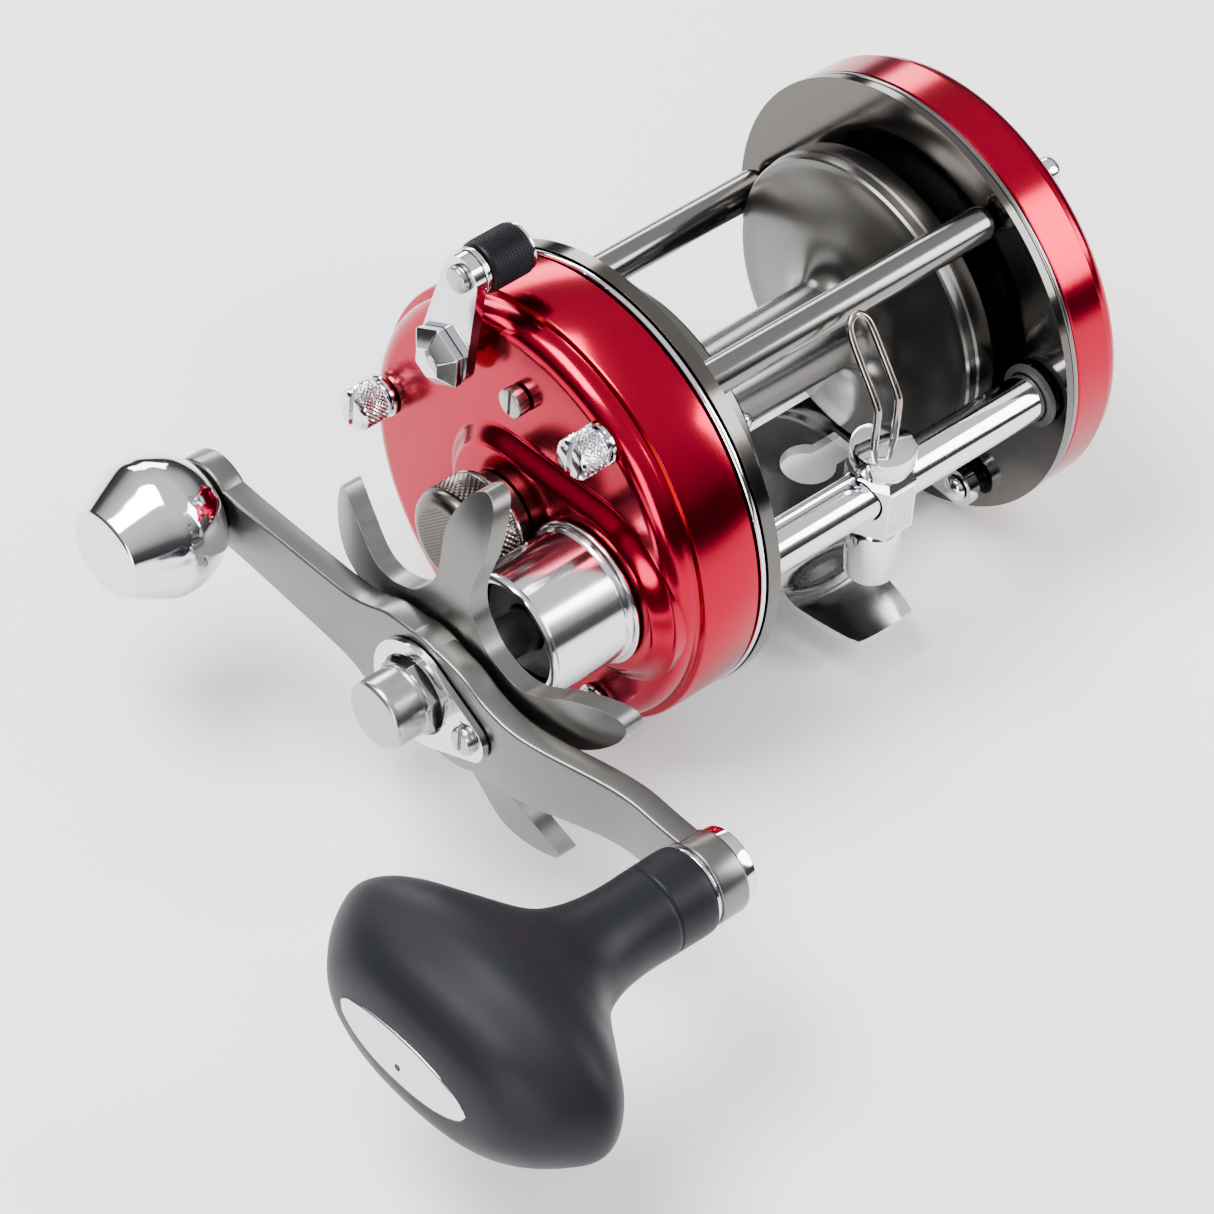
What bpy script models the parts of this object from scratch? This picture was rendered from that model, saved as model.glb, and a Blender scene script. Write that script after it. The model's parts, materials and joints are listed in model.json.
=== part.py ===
"""Round level-wind baitcasting reel, modelled as the separate pieces it comes apart into.

The plates' common axis runs along X, with the handle at -X, and the spool sits a little off it.
The line leaves towards -Y, and +Z is up.
The origin is the middle of the reel foot's flat underside, which sits on the rod.
Sizes are in millimetres, and MM turns them into Blender's metres when a mesh is made.
"""

import math

import bmesh
import bpy
from mathutils import Vector
from mathutils.geometry import tessellate_polygon

MM = 0.001
GAP = 0.3  # air left between two pieces that touch
RUNNING = 0.35  # air round a shaft, pin or screw in its hole
FINE, MEDIUM, COARSE, TINY = 48, 28, 18, 10  # sides of round pieces, large to small

# Frame: two round plates joined by pillars
FRAME_WIDTH = 53.4
PLATE_RADIUS = 33.0
PLATE_THICKNESS = 2.2
LEFT_PLATE_THICKNESS = 1.2
TRIM_THICKNESS = 0.8
PILLAR_RADIUS = 2.6
PILLAR_CIRCLE = 28.5
PILLAR_ANGLES = {"rear": -88.0, "top": 30.5, "bottom": 142.5}
AXIS_HEIGHT = 25.8  # centre of the plates above the underside of the foot's deck
FOOT_METAL = 1.8
DECK_HALF = 21.3
TONGUE_DROP = 2.5
TONGUE_REACH = 28.4
SCREW_RADIUS = 1.1
SCREW_DEPTH = 5.0

# Side covers
COVER_WALL = 1.5
RIGHT_COVER_DEPTH = 13.4
LEFT_COVER_DEPTH = 8.4
SHOULDER_DEPTH = 3.6
SHOULDER_STEP = 0.9
BOSS_HEIGHT = 2.2
BOSS_CHAMFER = 1.3

# Gears
DRIVE_MODULE = 0.65
MAIN_TEETH = 43
PINION_TEETH = 12
WIND_MODULE = 0.6
SPOOL_COG_TEETH = 12
IDLER_TEETH = 36
WORM_GEAR_TEETH = 11
GEAR_WIDTH = 3.0
BRIDGE_METAL = 1.6
IDLER_STUD_RADIUS = 1.5
DOG_STUD_RADIUS = 0.9
DOG_THICKNESS = 1.0

# Spool, whose axis is given as (y, z) from the centre of the plates
SPOOL_AT = (1.5, 0.7)
SPOOL_RADIUS = 23.2
ARBOR_RADIUS = 6.65
SPOOL_END_CLEARANCE = 2.9
SPOOL_SHAFT_RADIUS = 1.5

# Level wind
TUBE_RADIUS = 3.5
TUBE_BORE = 2.75
TUBE_ANGLE = 88.6
WORM_RADIUS = 2.1
CARRIAGE_X = -3.0
GUIDE_WIRE_RADIUS = 0.55

# Drive and handle
DRIVE_SHAFT_RADIUS = 3.0
STAR_HUB_BORE = DRIVE_SHAFT_RADIUS + RUNNING
TUBE_FLANGE_RADIUS = 10.6
TUBE_FLANGE_HEIGHT = 2.0
SPIGOT_RADIUS = 8.6
BEARING_TUBE_RADIUS = 9.7
BEARING_TUBE_BORE = 7.9
BEARING_TUBE_LENGTH = 14.5
STAR_RADIUS = 30.0
STAR_THICKNESS = 2.6
STAR_DISH = 5.6  # how far the tips sweep back towards the cover
STAR_HUB_LEAD = 4.8  # how far the middle stands out from the star's stated place
STAR_ARMS = 5
HANDLE_THICKNESS = 3.8
LOCK_REACH = 10.5
SMALL_KNOB_REACH = 45.0
POWER_KNOB_REACH = 48.2
HANDLE_STEP = 5.0
SMALL_KNOB_RADIUS = 10.0
SMALL_KNOB_LENGTH = 17.0
POWER_KNOB_LENGTH = 47.5
POWER_KNOB_SPAN = 50.0
POWER_KNOB_DEPTH = 27.0
POWER_KNOB_NECK = 6.3

# Cast control, clutch and clicker
CAST_CAP_RADIUS = 7.6
CAST_CAP_LENGTH = 9.7
LEVER_PIVOT = (13.3, 22.0)
LEVER_TIP = (10.7, 37.6)
LEVER_THICKNESS = 1.7
GRIP_RADIUS = 3.75
GRIP_LENGTH = 8.4
FACE_SCREW = (1.5, 20.7)
CLICKER_AT = (-12.4, 24.5)
CLICKER_TRAVEL = 4.0

# Places worked out from the sizes above. X values count outwards from the middle of the frame.
HALF = FRAME_WIDTH / 2
PLATE_OUT = HALF + PLATE_THICKNESS
LEFT_PLATE_OUT = HALF + LEFT_PLATE_THICKNESS
TRIM_STACK = GAP + TRIM_THICKNESS + GAP
COVER_IN = PLATE_OUT + TRIM_STACK
LEFT_COVER_IN = LEFT_PLATE_OUT + TRIM_STACK
COVER_RADIUS = PLATE_RADIUS - GAP
RIGHT_FACE = COVER_IN + RIGHT_COVER_DEPTH
LEFT_FACE = LEFT_COVER_IN + LEFT_COVER_DEPTH
BOSS_FACE = RIGHT_FACE + BOSS_HEIGHT
DRIVE_SPREAD = DRIVE_MODULE * (MAIN_TEETH + PINION_TEETH) / 2
DRIVE_LEAN = math.degrees(math.asin(SPOOL_AT[1] / DRIVE_SPREAD))
DRIVE_Y = SPOOL_AT[0] - math.sqrt(DRIVE_SPREAD**2 - SPOOL_AT[1] ** 2)
TUBE_CIRCLE = WIND_MODULE * (SPOOL_COG_TEETH / 2 + IDLER_TEETH + WORM_GEAR_TEETH / 2)
IDLER_CIRCLE = WIND_MODULE * (SPOOL_COG_TEETH + IDLER_TEETH) / 2
TUBE_END = BOSS_FACE + GAP + BEARING_TUBE_LENGTH
BRIDGE_X = PLATE_OUT + 1.0
COG_IN = LEFT_PLATE_OUT + 1.6
DOG_PIVOT = (DRIVE_Y + 3.0, -15.2)
GEAR_X = BRIDGE_X + 3.6
STAR_X = TUBE_END + 4.5
HANDLE_X = STAR_X + 8.5
SMALL_KNOB_Y = DRIVE_Y + SMALL_KNOB_REACH
POWER_KNOB_Y = DRIVE_Y - POWER_KNOB_REACH
POWER_ARM_X = HANDLE_X - HANDLE_STEP
LEVER_X = RIGHT_FACE + 2.0
LEVER_OUT = LEVER_X + LEVER_THICKNESS


def around(radius, angle):
    """The (y, z) point on a circle round the plates' centre, counted from the top to the front."""
    turn = math.radians(angle)
    return -radius * math.sin(turn), radius * math.cos(turn)


def from_spool(radius, angle):
    """The (y, z) point on a circle round the spool axis, counted from the top to the front."""
    y, z = around(radius, angle)
    return SPOOL_AT[0] + y, SPOOL_AT[1] + z


def clear_scene():
    for thing in list(bpy.data.objects):
        bpy.data.objects.remove(thing, do_unlink=True)


def finish(name, colour, roughness, metallic=1.0):
    material = bpy.data.materials.new(name)
    material.use_nodes = True
    shader = material.node_tree.nodes["Principled BSDF"]
    shader.inputs["Base Color"].default_value = (*colour, 1.0)
    shader.inputs["Roughness"].default_value = roughness
    shader.inputs["Metallic"].default_value = metallic
    return material


def joint_empty(name, x, y, z, parent=None):
    """An empty on a joint's axis, which carries the pieces that move with it."""
    empty = bpy.data.objects.new(name, None)
    bpy.context.collection.objects.link(empty)
    empty["at"] = (x, y, z)
    offset = Vector((x, y, z))
    if parent:
        empty.parent = parent
        offset -= Vector(parent["at"])
    empty.location = offset * MM
    return empty


def add(name, mesh, material, at, parent, tilt=(0.0, 0.0, 0.0)):
    """Put a mesh at a point given from the reel's origin, under the empty that carries it."""
    piece = bpy.data.objects.new(name, mesh)
    bpy.context.collection.objects.link(piece)
    piece.parent = parent
    piece.location = (Vector(at) - Vector(parent["at"])) * MM
    piece.rotation_euler = [math.radians(angle) for angle in tilt]
    if not mesh.materials:
        mesh.materials.append(material)
    return piece


def to_mesh(name, body):
    bmesh.ops.recalc_face_normals(body, faces=body.faces)
    mesh = bpy.data.meshes.new(name)
    body.to_mesh(mesh)
    body.free()
    mesh.shade_smooth()
    mesh.set_sharp_from_angle(angle=math.radians(35))
    return mesh


def skin(body, rings, joined=True):
    """Faces between each ring of vertices and the next; a ring of one vertex is a point."""
    pairs = list(zip(rings, rings[1:]))
    if joined:
        pairs.append((rings[-1], rings[0]))
    for ring, other in pairs:
        count = max(len(ring), len(other))
        if count == 1:
            continue
        for index in range(count):
            following = (index + 1) % count
            corners = [ring[index % len(ring)], ring[following % len(ring)]]
            corners += [other[following % len(other)], other[index % len(other)]]
            body.faces.new(list(dict.fromkeys(corners)))


def turned_mesh(name, profile, sides):
    """A closed profile of (x, radius) points turned about the local X axis."""
    body = bmesh.new()
    rings = []
    for x, radius in profile:
        count = sides if radius else 1
        turns = [2 * math.pi * index / sides for index in range(count)]
        points = [(x, -radius * math.sin(turn), radius * math.cos(turn)) for turn in turns]
        rings.append([body.verts.new(Vector(point) * MM) for point in points])
    skin(body, rings)
    return to_mesh(name, body)


def turned(name, profile, material, at, parent, sides=MEDIUM, tilt=(0.0, 0.0, 0.0)):
    return add(name, turned_mesh(name, profile, sides), material, at, parent, tilt)


def prism_mesh(name, loops, x_from, x_to):
    """Flat (y, z) loops, the first the outline and the rest holes, extruded along X."""
    body = bmesh.new()
    triangles = tessellate_polygon([[Vector((0, y, z)) for y, z in loop] for loop in loops])
    ends = []
    for x in (x_from, x_to):
        rings = [[body.verts.new(Vector((x, y, z)) * MM) for y, z in loop] for loop in loops]
        flat = [vertex for ring in rings for vertex in ring]
        for triangle in triangles:
            body.faces.new([flat[corner] for corner in triangle])
        ends.append(rings)
    for first, second in zip(*ends):
        skin(body, [first, second], joined=False)
    return to_mesh(name, body)


def prism(name, loops, x_from, x_to, material, at, parent, tilt=(0.0, 0.0, 0.0)):
    return add(name, prism_mesh(name, loops, x_from, x_to), material, at, parent, tilt)


def lofted_mesh(name, sections):
    """A solid through sections of equal length, each a loop of (x, y, z) points."""
    body = bmesh.new()
    rings = [[body.verts.new(Vector(point) * MM) for point in section] for section in sections]
    skin(body, rings, joined=False)
    body.faces.new(rings[0])
    body.faces.new(rings[-1])
    return to_mesh(name, body)


def circle(radius, sides, y=0.0, z=0.0, start=0.0):
    turns = [math.radians(start) + 2 * math.pi * index / sides for index in range(sides)]
    return [(y - radius * math.sin(turn), z + radius * math.cos(turn)) for turn in turns]


def arc(radius, y, z, start, end, steps):
    """Points on an arc about (y, z), with angles counted from the top towards the front."""
    turns = [math.radians(start + (end - start) * index / steps) for index in range(steps + 1)]
    return [(y - radius * math.sin(turn), z + radius * math.cos(turn)) for turn in turns]


def link_outline(first, first_radius, second, second_radius, steps):
    """The outline of a strap that runs round two circles of different radius."""
    along = Vector(second) - Vector(first)
    heading = math.degrees(math.atan2(-along.x, along.y))
    lean = math.degrees(math.asin((first_radius - second_radius) / along.length))
    left, right = heading + 90 - lean, heading + 270 + lean
    return arc(first_radius, *first, left, right, steps) + arc(
        second_radius, *second, right - 360, left, steps
    )


def combine(target, other, operation):
    modifier = target.modifiers.new(operation.lower(), "BOOLEAN")
    modifier.operation = operation
    modifier.solver = "EXACT"
    modifier.object = other
    other.hide_render = True
    other.display_type = "WIRE"


def bore(target, name, radius, at, parent, half_length, sides=COARSE, tilt=(0.0, 0.0, 0.0)):
    """Cut a round hole through a piece, along X unless it is tilted."""
    profile = [(-half_length, 0), (-half_length, radius), (half_length, radius), (half_length, 0)]
    combine(target, turned(name, profile, None, at, parent, sides, tilt), "DIFFERENCE")


def gear_loop(module, teeth, tooth_at):
    """A spur gear's outline with stub teeth, one of them centred on the given angle."""
    pitch = module * teeth / 2
    step = 360.0 / teeth
    tip_share, pitch_share, root_share = 0.11, 0.215, 0.31
    loop = []
    for tooth in range(teeth):
        middle = tooth_at + tooth * step
        for radius, share in (
            (pitch - 1.05 * module, -root_share),
            (pitch, -pitch_share),
            (pitch + 0.75 * module, -tip_share),
            (pitch + 0.75 * module, tip_share),
            (pitch, pitch_share),
            (pitch - 1.05 * module, root_share),
        ):
            loop += arc(radius, 0, 0, middle + share * step, middle, 1)[:1]
    return loop


def box_mesh(name, low, high):
    (x0, y0, z0), (x1, y1, z1) = low, high
    return prism_mesh(name, [[(y0, z0), (y1, z0), (y1, z1), (y0, z1)]], x0, x1)


def axis_at(x, y=0.0, z=0.0):
    """A place given from the plates' centre, as a point from the reel's origin."""
    return (x, y, z + AXIS_HEIGHT)


def spool_at(x):
    """The point on the spool axis at this X."""
    return axis_at(x, *SPOOL_AT)


def make_frame(root, looks):
    spool_opening = SPOOL_RADIUS + GAP + 0.1
    tube_y, tube_z = from_spool(TUBE_CIRCLE, TUBE_ANGLE)
    screw_holes = [
        circle(SCREW_RADIUS + RUNNING, TINY, *around(PILLAR_CIRCLE, angle))
        for angle in PILLAR_ANGLES.values()
    ]
    rim = circle(PLATE_RADIUS, FINE)
    right_holes = [circle(spool_opening, FINE, *SPOOL_AT), *screw_holes]
    prism("frame_plate_right", [rim, *right_holes], -PLATE_OUT, -HALF, looks["plate"],
          axis_at(0), root)
    shaft_hole = circle(4.2, COARSE, *SPOOL_AT)
    worm_hole = circle(1.9, COARSE, tube_y, tube_z)
    left_holes = [shaft_hole, worm_hole, *screw_holes]
    left = prism("frame_plate_left", [rim, *left_holes], HALF, LEFT_PLATE_OUT, looks["plate"],
                 axis_at(0), root)
    stud_end = COG_IN + GEAR_WIDTH + 0.8
    profile = [(HALF + 0.2, 0), (HALF + 0.2, 2.6), (COG_IN - GAP, 2.6),
               (COG_IN - GAP, IDLER_STUD_RADIUS), (stud_end, IDLER_STUD_RADIUS), (stud_end, 0)]
    stud_at = axis_at(0, *from_spool(IDLER_CIRCLE, TUBE_ANGLE))
    combine(left, turned("idler_stud", profile, None, stud_at, root, TINY), "UNION")
    for side, out, name in ((-1, PLATE_OUT, "trim_ring_right"), (1, LEFT_PLATE_OUT, "trim_ring_left")):
        start, end = side * (out + GAP), side * (out + GAP + TRIM_THICKNESS)
        outer, inner = PLATE_RADIUS - 0.1, PLATE_RADIUS - 2.6
        profile = [(start, inner), (start, outer), (end, outer), (end, inner)]
        turned(name, profile, looks["chrome"], axis_at(0), root, FINE)
    start, end = -HALF + GAP, HALF - GAP
    for name in ("rear", "top"):
        y, z = around(PILLAR_CIRCLE, PILLAR_ANGLES[name])
        bore_end = start + SCREW_DEPTH + 1.0
        profile = [
            (start, SCREW_RADIUS + RUNNING), (start, PILLAR_RADIUS), (end, PILLAR_RADIUS),
            (end, SCREW_RADIUS), (LEFT_PLATE_OUT - 0.1, SCREW_RADIUS), (LEFT_PLATE_OUT - 0.1, 0),
            (bore_end, 0), (bore_end, SCREW_RADIUS + RUNNING),
        ]
        turned(f"pillar_{name}", profile, looks["pillar"], axis_at(0, y, z), root, COARSE)


def keyhole(x, side):
    """A round hole with a square notch towards its own side plate, as a deck outline loop."""
    radius, notch, reach = 4.0, 2.5, 7.4
    opening = math.degrees(math.asin(notch / radius))
    middle = 180 if side > 0 else 0
    loop = arc(radius, 0, 0, middle + opening, middle + 360 - opening, 18)
    loop += [(-side * notch, -side * reach), (side * notch, -side * reach)]
    return [(y, z - x) for y, z in loop]


def tongue_mesh(name, way):
    """One end of the foot: it steps down from the deck and narrows to its tip."""
    levels = [
        (8.0, 0.0, 7.6), (12.0, 0.0, 7.6), (18.0, -TONGUE_DROP, 7.2),
        (23.0, -TONGUE_DROP, 6.5), (TONGUE_REACH, -TONGUE_DROP, 5.3),
    ]
    sections = []
    for reach, low, half in levels:
        y, high = way * reach, low + FOOT_METAL
        sections.append([(-half, y, low), (half, y, low), (half, y, high), (-half, y, high)])
    return lofted_mesh(name, sections)


def make_foot(root, looks):
    """The stamped foot: a deck with two keyholes, a tongue each way and four upright ears."""
    deck_front, deck_back, strip_half = -10.0, 10.0, 9.0
    ear_out, ear_in = HALF - 1.2, HALF - 1.2 - FOOT_METAL
    deck = [(deck_front, -DECK_HALF), (deck_back, -DECK_HALF),
            (deck_back, DECK_HALF), (deck_front, DECK_HALF)]
    loops = [deck, keyhole(-11.5, -1), keyhole(11.5, 1)]
    # The deck is drawn as a prism along X and laid flat by a quarter turn about Y.
    foot = prism("reel_foot", loops, 0, FOOT_METAL, looks["chrome"], (0, 0, 0), root, (0, -90, 0))
    ear_y, ear_z = around(PILLAR_CIRCLE, PILLAR_ANGLES["bottom"])
    for way, name in ((-1, "front"), (1, "rear")):
        tongue = add(f"tongue_{name}", tongue_mesh(f"tongue_{name}", way), None, (0, 0, 0), root)
        combine(foot, tongue, "UNION")
        post_y = -way * ear_y
        for side, hand in ((-1, "right"), (1, "left")):
            strap = link_outline((post_y, ear_z + AXIS_HEIGHT), 3.0, (way * 7.0, 0.9), 0.9, 6)
            ear = prism(f"ear_{name}_{hand}", [strap], side * ear_in, side * ear_out, None,
                        (0, 0, 0), root)
            combine(foot, ear, "UNION")
    for side, hand in ((-1, "right"), (1, "left")):
        ends = sorted((side * (DECK_HALF - 1.0), side * (ear_out - 0.4)))
        strip = box_mesh("strip", (ends[0], -strip_half, 0), (ends[1], strip_half, FOOT_METAL))
        combine(foot, add(f"deck_strip_{hand}", strip, None, (0, 0, 0), root), "UNION")
    for way, name in ((-1, "front"), (1, "rear")):
        at = axis_at(0, -way * ear_y, ear_z)
        bore(foot, f"ear_holes_{name}", 1.0 + RUNNING, at, root, HALF, TINY)
        for side, hand in ((-1, "right"), (1, "left")):
            head = ear_in - GAP
            profile = [(head - 1.2, 0), (head - 0.9, 1.5), (head, 1.9), (head, 1.0),
                       (HALF - GAP, 1.0), (HALF - GAP, 0)]
            profile = [(side * x, radius) for x, radius in profile]
            turned(f"foot_rivet_{name}_{hand}", profile, looks["chrome"], at, root, TINY)


def make_right_cover(root, looks):
    """The deep red cup over the gears, with its raised boss, screws and chrome bearing tube."""
    inner = COVER_RADIUS - COVER_WALL
    edge = COVER_RADIUS - SHOULDER_STEP
    profile = [
        (-COVER_IN, inner), (-COVER_IN, COVER_RADIUS),
        (-(RIGHT_FACE - SHOULDER_DEPTH), COVER_RADIUS),
        (-(RIGHT_FACE - SHOULDER_DEPTH + 0.5), edge), (-(RIGHT_FACE - 2.0), edge - 0.3),
        (-(RIGHT_FACE - 0.8), edge - 1.3), (-RIGHT_FACE, edge - 3.2), (-RIGHT_FACE, 0),
        (-(RIGHT_FACE - COVER_WALL), 0), (-(RIGHT_FACE - COVER_WALL), inner - 1.5),
        (-(RIGHT_FACE - COVER_WALL - 1.5), inner),
    ]
    cover = turned("side_cover_right", profile, looks["red"], axis_at(0), root, FINE)
    base_x, rim_x = RIGHT_FACE - 0.8, BOSS_FACE - BOSS_CHAMFER
    drive = (DRIVE_Y, 0.0)
    wide = link_outline(drive, 13.4, SPOOL_AT, 11.4, 12)
    top = link_outline(drive, 13.4 - BOSS_CHAMFER, SPOOL_AT, 11.4 - BOSS_CHAMFER, 12)
    sections = [[(-x, y, z) for y, z in loop]
                for x, loop in ((base_x, wide), (rim_x, wide), (BOSS_FACE, top))]
    boss = add("cover_boss", lofted_mesh("cover_boss", sections), None, axis_at(0), root)
    combine(cover, boss, "UNION")
    bore(cover, "drive_opening", SPIGOT_RADIUS + GAP, axis_at(-RIGHT_FACE, DRIVE_Y), root, 8, MEDIUM)
    bore(cover, "spool_opening", 5.0 + GAP, spool_at(-RIGHT_FACE), root, 8, COARSE)
    bore(cover, "lever_opening", 2.0 + RUNNING, axis_at(-RIGHT_FACE, *LEVER_PIVOT), root, 8, TINY)
    bore(cover, "face_screw_hole", 1.0 + RUNNING, axis_at(-RIGHT_FACE, *FACE_SCREW), root, 8, TINY)
    for name, angle in PILLAR_ANGLES.items():
        y, z = around(PILLAR_CIRCLE, angle)
        bore(cover, f"screw_hole_{name}", SCREW_RADIUS + RUNNING, axis_at(-RIGHT_FACE, y, z),
             root, 8, TINY)
        make_thumb_screw(f"thumb_screw_{name}", y, z, root, looks)
    bearing_tube(root, looks)
    head = RIGHT_FACE + 2.2
    profile = [
        (-head, 0), (-head, 2.15), (-(RIGHT_FACE + GAP), 2.15),
        (-(RIGHT_FACE + GAP), 1.0), (-(RIGHT_FACE - COVER_WALL - 2.0), 1.0),
        (-(RIGHT_FACE - COVER_WALL - 2.0), 0),
    ]
    screw = turned("face_screw", profile, looks["steel"], axis_at(0, *FACE_SCREW), root, COARSE)
    slot_screw(screw, head, 0.6, 0.7, axis_at(0, *FACE_SCREW), root)


def slot_screw(screw, face_x, width, depth, at, parent):
    slot = box_mesh("slot", (-face_x - 1, -width / 2, -6), (-face_x + depth, width / 2, 6))
    combine(screw, add(f"{screw.name}_slot", slot, None, at, parent), "DIFFERENCE")


def make_thumb_screw(name, y, z, root, looks):
    """A thumb screw with a knurled, slotted head; the front and top ones end in a pillar."""
    seat = RIGHT_FACE + GAP
    head_end = seat + 5.7
    profile = [
        (-head_end, 0), (-head_end, 2.3), (-(head_end - 0.5), 2.9), (-(seat + 1.0), 2.9),
        (-(seat + 0.8), 2.3), (-(seat + 0.6), 3.1), (-seat, 3.1), (-seat, SCREW_RADIUS),
        (-(HALF - SCREW_DEPTH), SCREW_RADIUS), (-(HALF - SCREW_DEPTH), 0),
    ]
    if name.endswith("bottom"):
        profile = [(min(x, -(HALF + GAP)), radius) for x, radius in profile]
    at = axis_at(0, y, z)
    screw = turned(name, profile, looks["chrome"], at, root, COARSE)
    slot_screw(screw, head_end, 0.8, 1.2, at, root)


def bearing_tube(root, looks):
    """The chrome tube in which the drive shaft turns, and the bearing at its root."""
    seat = BOSS_FACE + GAP
    inside = RIGHT_FACE - COVER_WALL - 0.6
    shoulder = BEARING_TUBE_RADIUS + 0.4
    profile = [
        (-TUBE_END, BEARING_TUBE_BORE), (-TUBE_END, BEARING_TUBE_RADIUS - 0.6),
        (-(TUBE_END - 0.6), BEARING_TUBE_RADIUS), (-(seat + TUBE_FLANGE_HEIGHT), BEARING_TUBE_RADIUS),
        (-(seat + TUBE_FLANGE_HEIGHT - 0.3), shoulder), (-(seat + 1.2), shoulder),
        (-(seat + 0.9), TUBE_FLANGE_RADIUS), (-seat, TUBE_FLANGE_RADIUS), (-seat, SPIGOT_RADIUS),
        (-inside, SPIGOT_RADIUS), (-inside, 5.2), (-(seat + 1.5), 5.2),
        (-(seat + 1.5), BEARING_TUBE_BORE),
    ]
    turned("handle_bearing_tube", profile, looks["chrome"], axis_at(0, DRIVE_Y), root, MEDIUM)
    start, end = inside + 0.2, seat + 1.2
    profile = [(-start, DRIVE_SHAFT_RADIUS + RUNNING), (-start, 4.9), (-end, 4.9),
               (-end, DRIVE_SHAFT_RADIUS + RUNNING)]
    turned("drive_bearing", profile, looks["steel"], axis_at(0, DRIVE_Y), root, COARSE)


def make_bridge(root, looks):
    """The plate inside the right cover that carries the gears, with the reverse dog's stud."""
    outline = circle(26.0, MEDIUM)
    bridge = prism("bridge_plate", [outline, circle(4.6, COARSE, *SPOOL_AT)],
                   -(BRIDGE_X + BRIDGE_METAL), -BRIDGE_X, looks["brass"], axis_at(0), root)
    stud_end = GEAR_X - GAP + 0.2
    profile = [(-(BRIDGE_X + 1.0), 0), (-(BRIDGE_X + 1.0), DOG_STUD_RADIUS),
               (-stud_end, DOG_STUD_RADIUS), (-stud_end, 0)]
    combine(bridge, turned("dog_stud", profile, None, axis_at(0, *DOG_PIVOT), root, TINY), "UNION")
    start, end = BRIDGE_X - 0.9, BRIDGE_X + 2.2
    profile = [(-start, SPOOL_SHAFT_RADIUS + RUNNING), (-start, 4.3), (-end, 4.3),
               (-end, SPOOL_SHAFT_RADIUS + RUNNING)]
    turned("spool_bearing_right", profile, looks["steel"], spool_at(0), root, COARSE)


def make_left_cover(root, looks):
    """The shallow red cup over the level wind gears, its bearing housing and bearing."""
    inner = COVER_RADIUS - COVER_WALL
    edge = COVER_RADIUS - 0.4
    inside = LEFT_FACE - COVER_WALL
    profile = [
        (LEFT_COVER_IN, inner), (LEFT_COVER_IN, COVER_RADIUS), (LEFT_FACE - 2.6, COVER_RADIUS),
        (LEFT_FACE - 2.3, edge), (LEFT_FACE - 0.6, edge - 0.5), (LEFT_FACE, edge - 1.4),
        (LEFT_FACE, 0), (inside, 0), (inside, inner - 1.0), (inside - 1.0, inner),
    ]
    cover = turned("side_cover_left", profile, looks["red"], axis_at(0), root, FINE)
    profile = [(inside - 2.0, 0), (inside - 2.0, 6.2), (LEFT_FACE - 0.5, 6.2),
               (LEFT_FACE - 0.5, 8.5), (LEFT_FACE + 1.6, 7.5), (LEFT_FACE + 1.6, 0)]
    housing = turned("bearing_housing", profile, None, spool_at(0), root, MEDIUM)
    combine(cover, housing, "UNION")
    bore(cover, "bearing_seat", 4.6, spool_at(LEFT_FACE), root, 8, COARSE)
    y, z = CLICKER_AT
    turn = math.degrees(math.atan2(-y, z))
    inward = around(CLICKER_TRAVEL, turn + 180)
    slot = link_outline((y, z), 1.6, (y + inward[0], z + inward[1]), 1.6, 5)
    cutter = prism("clicker_slot", [slot], LEFT_FACE - 4, LEFT_FACE + 4, None, axis_at(0), root)
    combine(cover, cutter, "DIFFERENCE")
    start, end = LEFT_FACE - COVER_WALL - 1.6, LEFT_FACE - 0.2
    profile = [(start, SPOOL_SHAFT_RADIUS + RUNNING), (start, 4.3), (end, 4.3),
               (end, SPOOL_SHAFT_RADIUS + RUNNING)]
    turned("spool_bearing_left", profile, looks["steel"], spool_at(0), root, COARSE)
    profile = [(LEFT_FACE + 0.1, 0), (LEFT_FACE + 0.1, 4.3), (LEFT_FACE + 2.0, 4.3),
               (LEFT_FACE + 2.6, 3.7), (LEFT_FACE + 2.6, 0)]
    cap = turned("left_bearing_cap", profile, looks["chrome"], spool_at(0), root, COARSE)
    slot = box_mesh("slot", (LEFT_FACE + 1.8, -0.6, -5), (LEFT_FACE + 4, 0.6, 5))
    combine(cap, add("left_cap_slot", slot, None, spool_at(0), root), "DIFFERENCE")


def make_clicker(root, looks):
    y, z = CLICKER_AT
    slider = joint_empty("clicker_slider", *axis_at(LEFT_FACE, y, z), root)
    profile = [
        (LEFT_FACE + 3.4, 0), (LEFT_FACE + 3.4, 2.0), (LEFT_FACE + 2.9, 2.6),
        (LEFT_FACE + GAP, 2.6), (LEFT_FACE + GAP, 1.25), (LEFT_FACE - COVER_WALL - 1.5, 1.25),
        (LEFT_FACE - COVER_WALL - 1.5, 0),
    ]
    turned("clicker_button", profile, looks["chrome"], axis_at(0, y, z), slider, COARSE)


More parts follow.
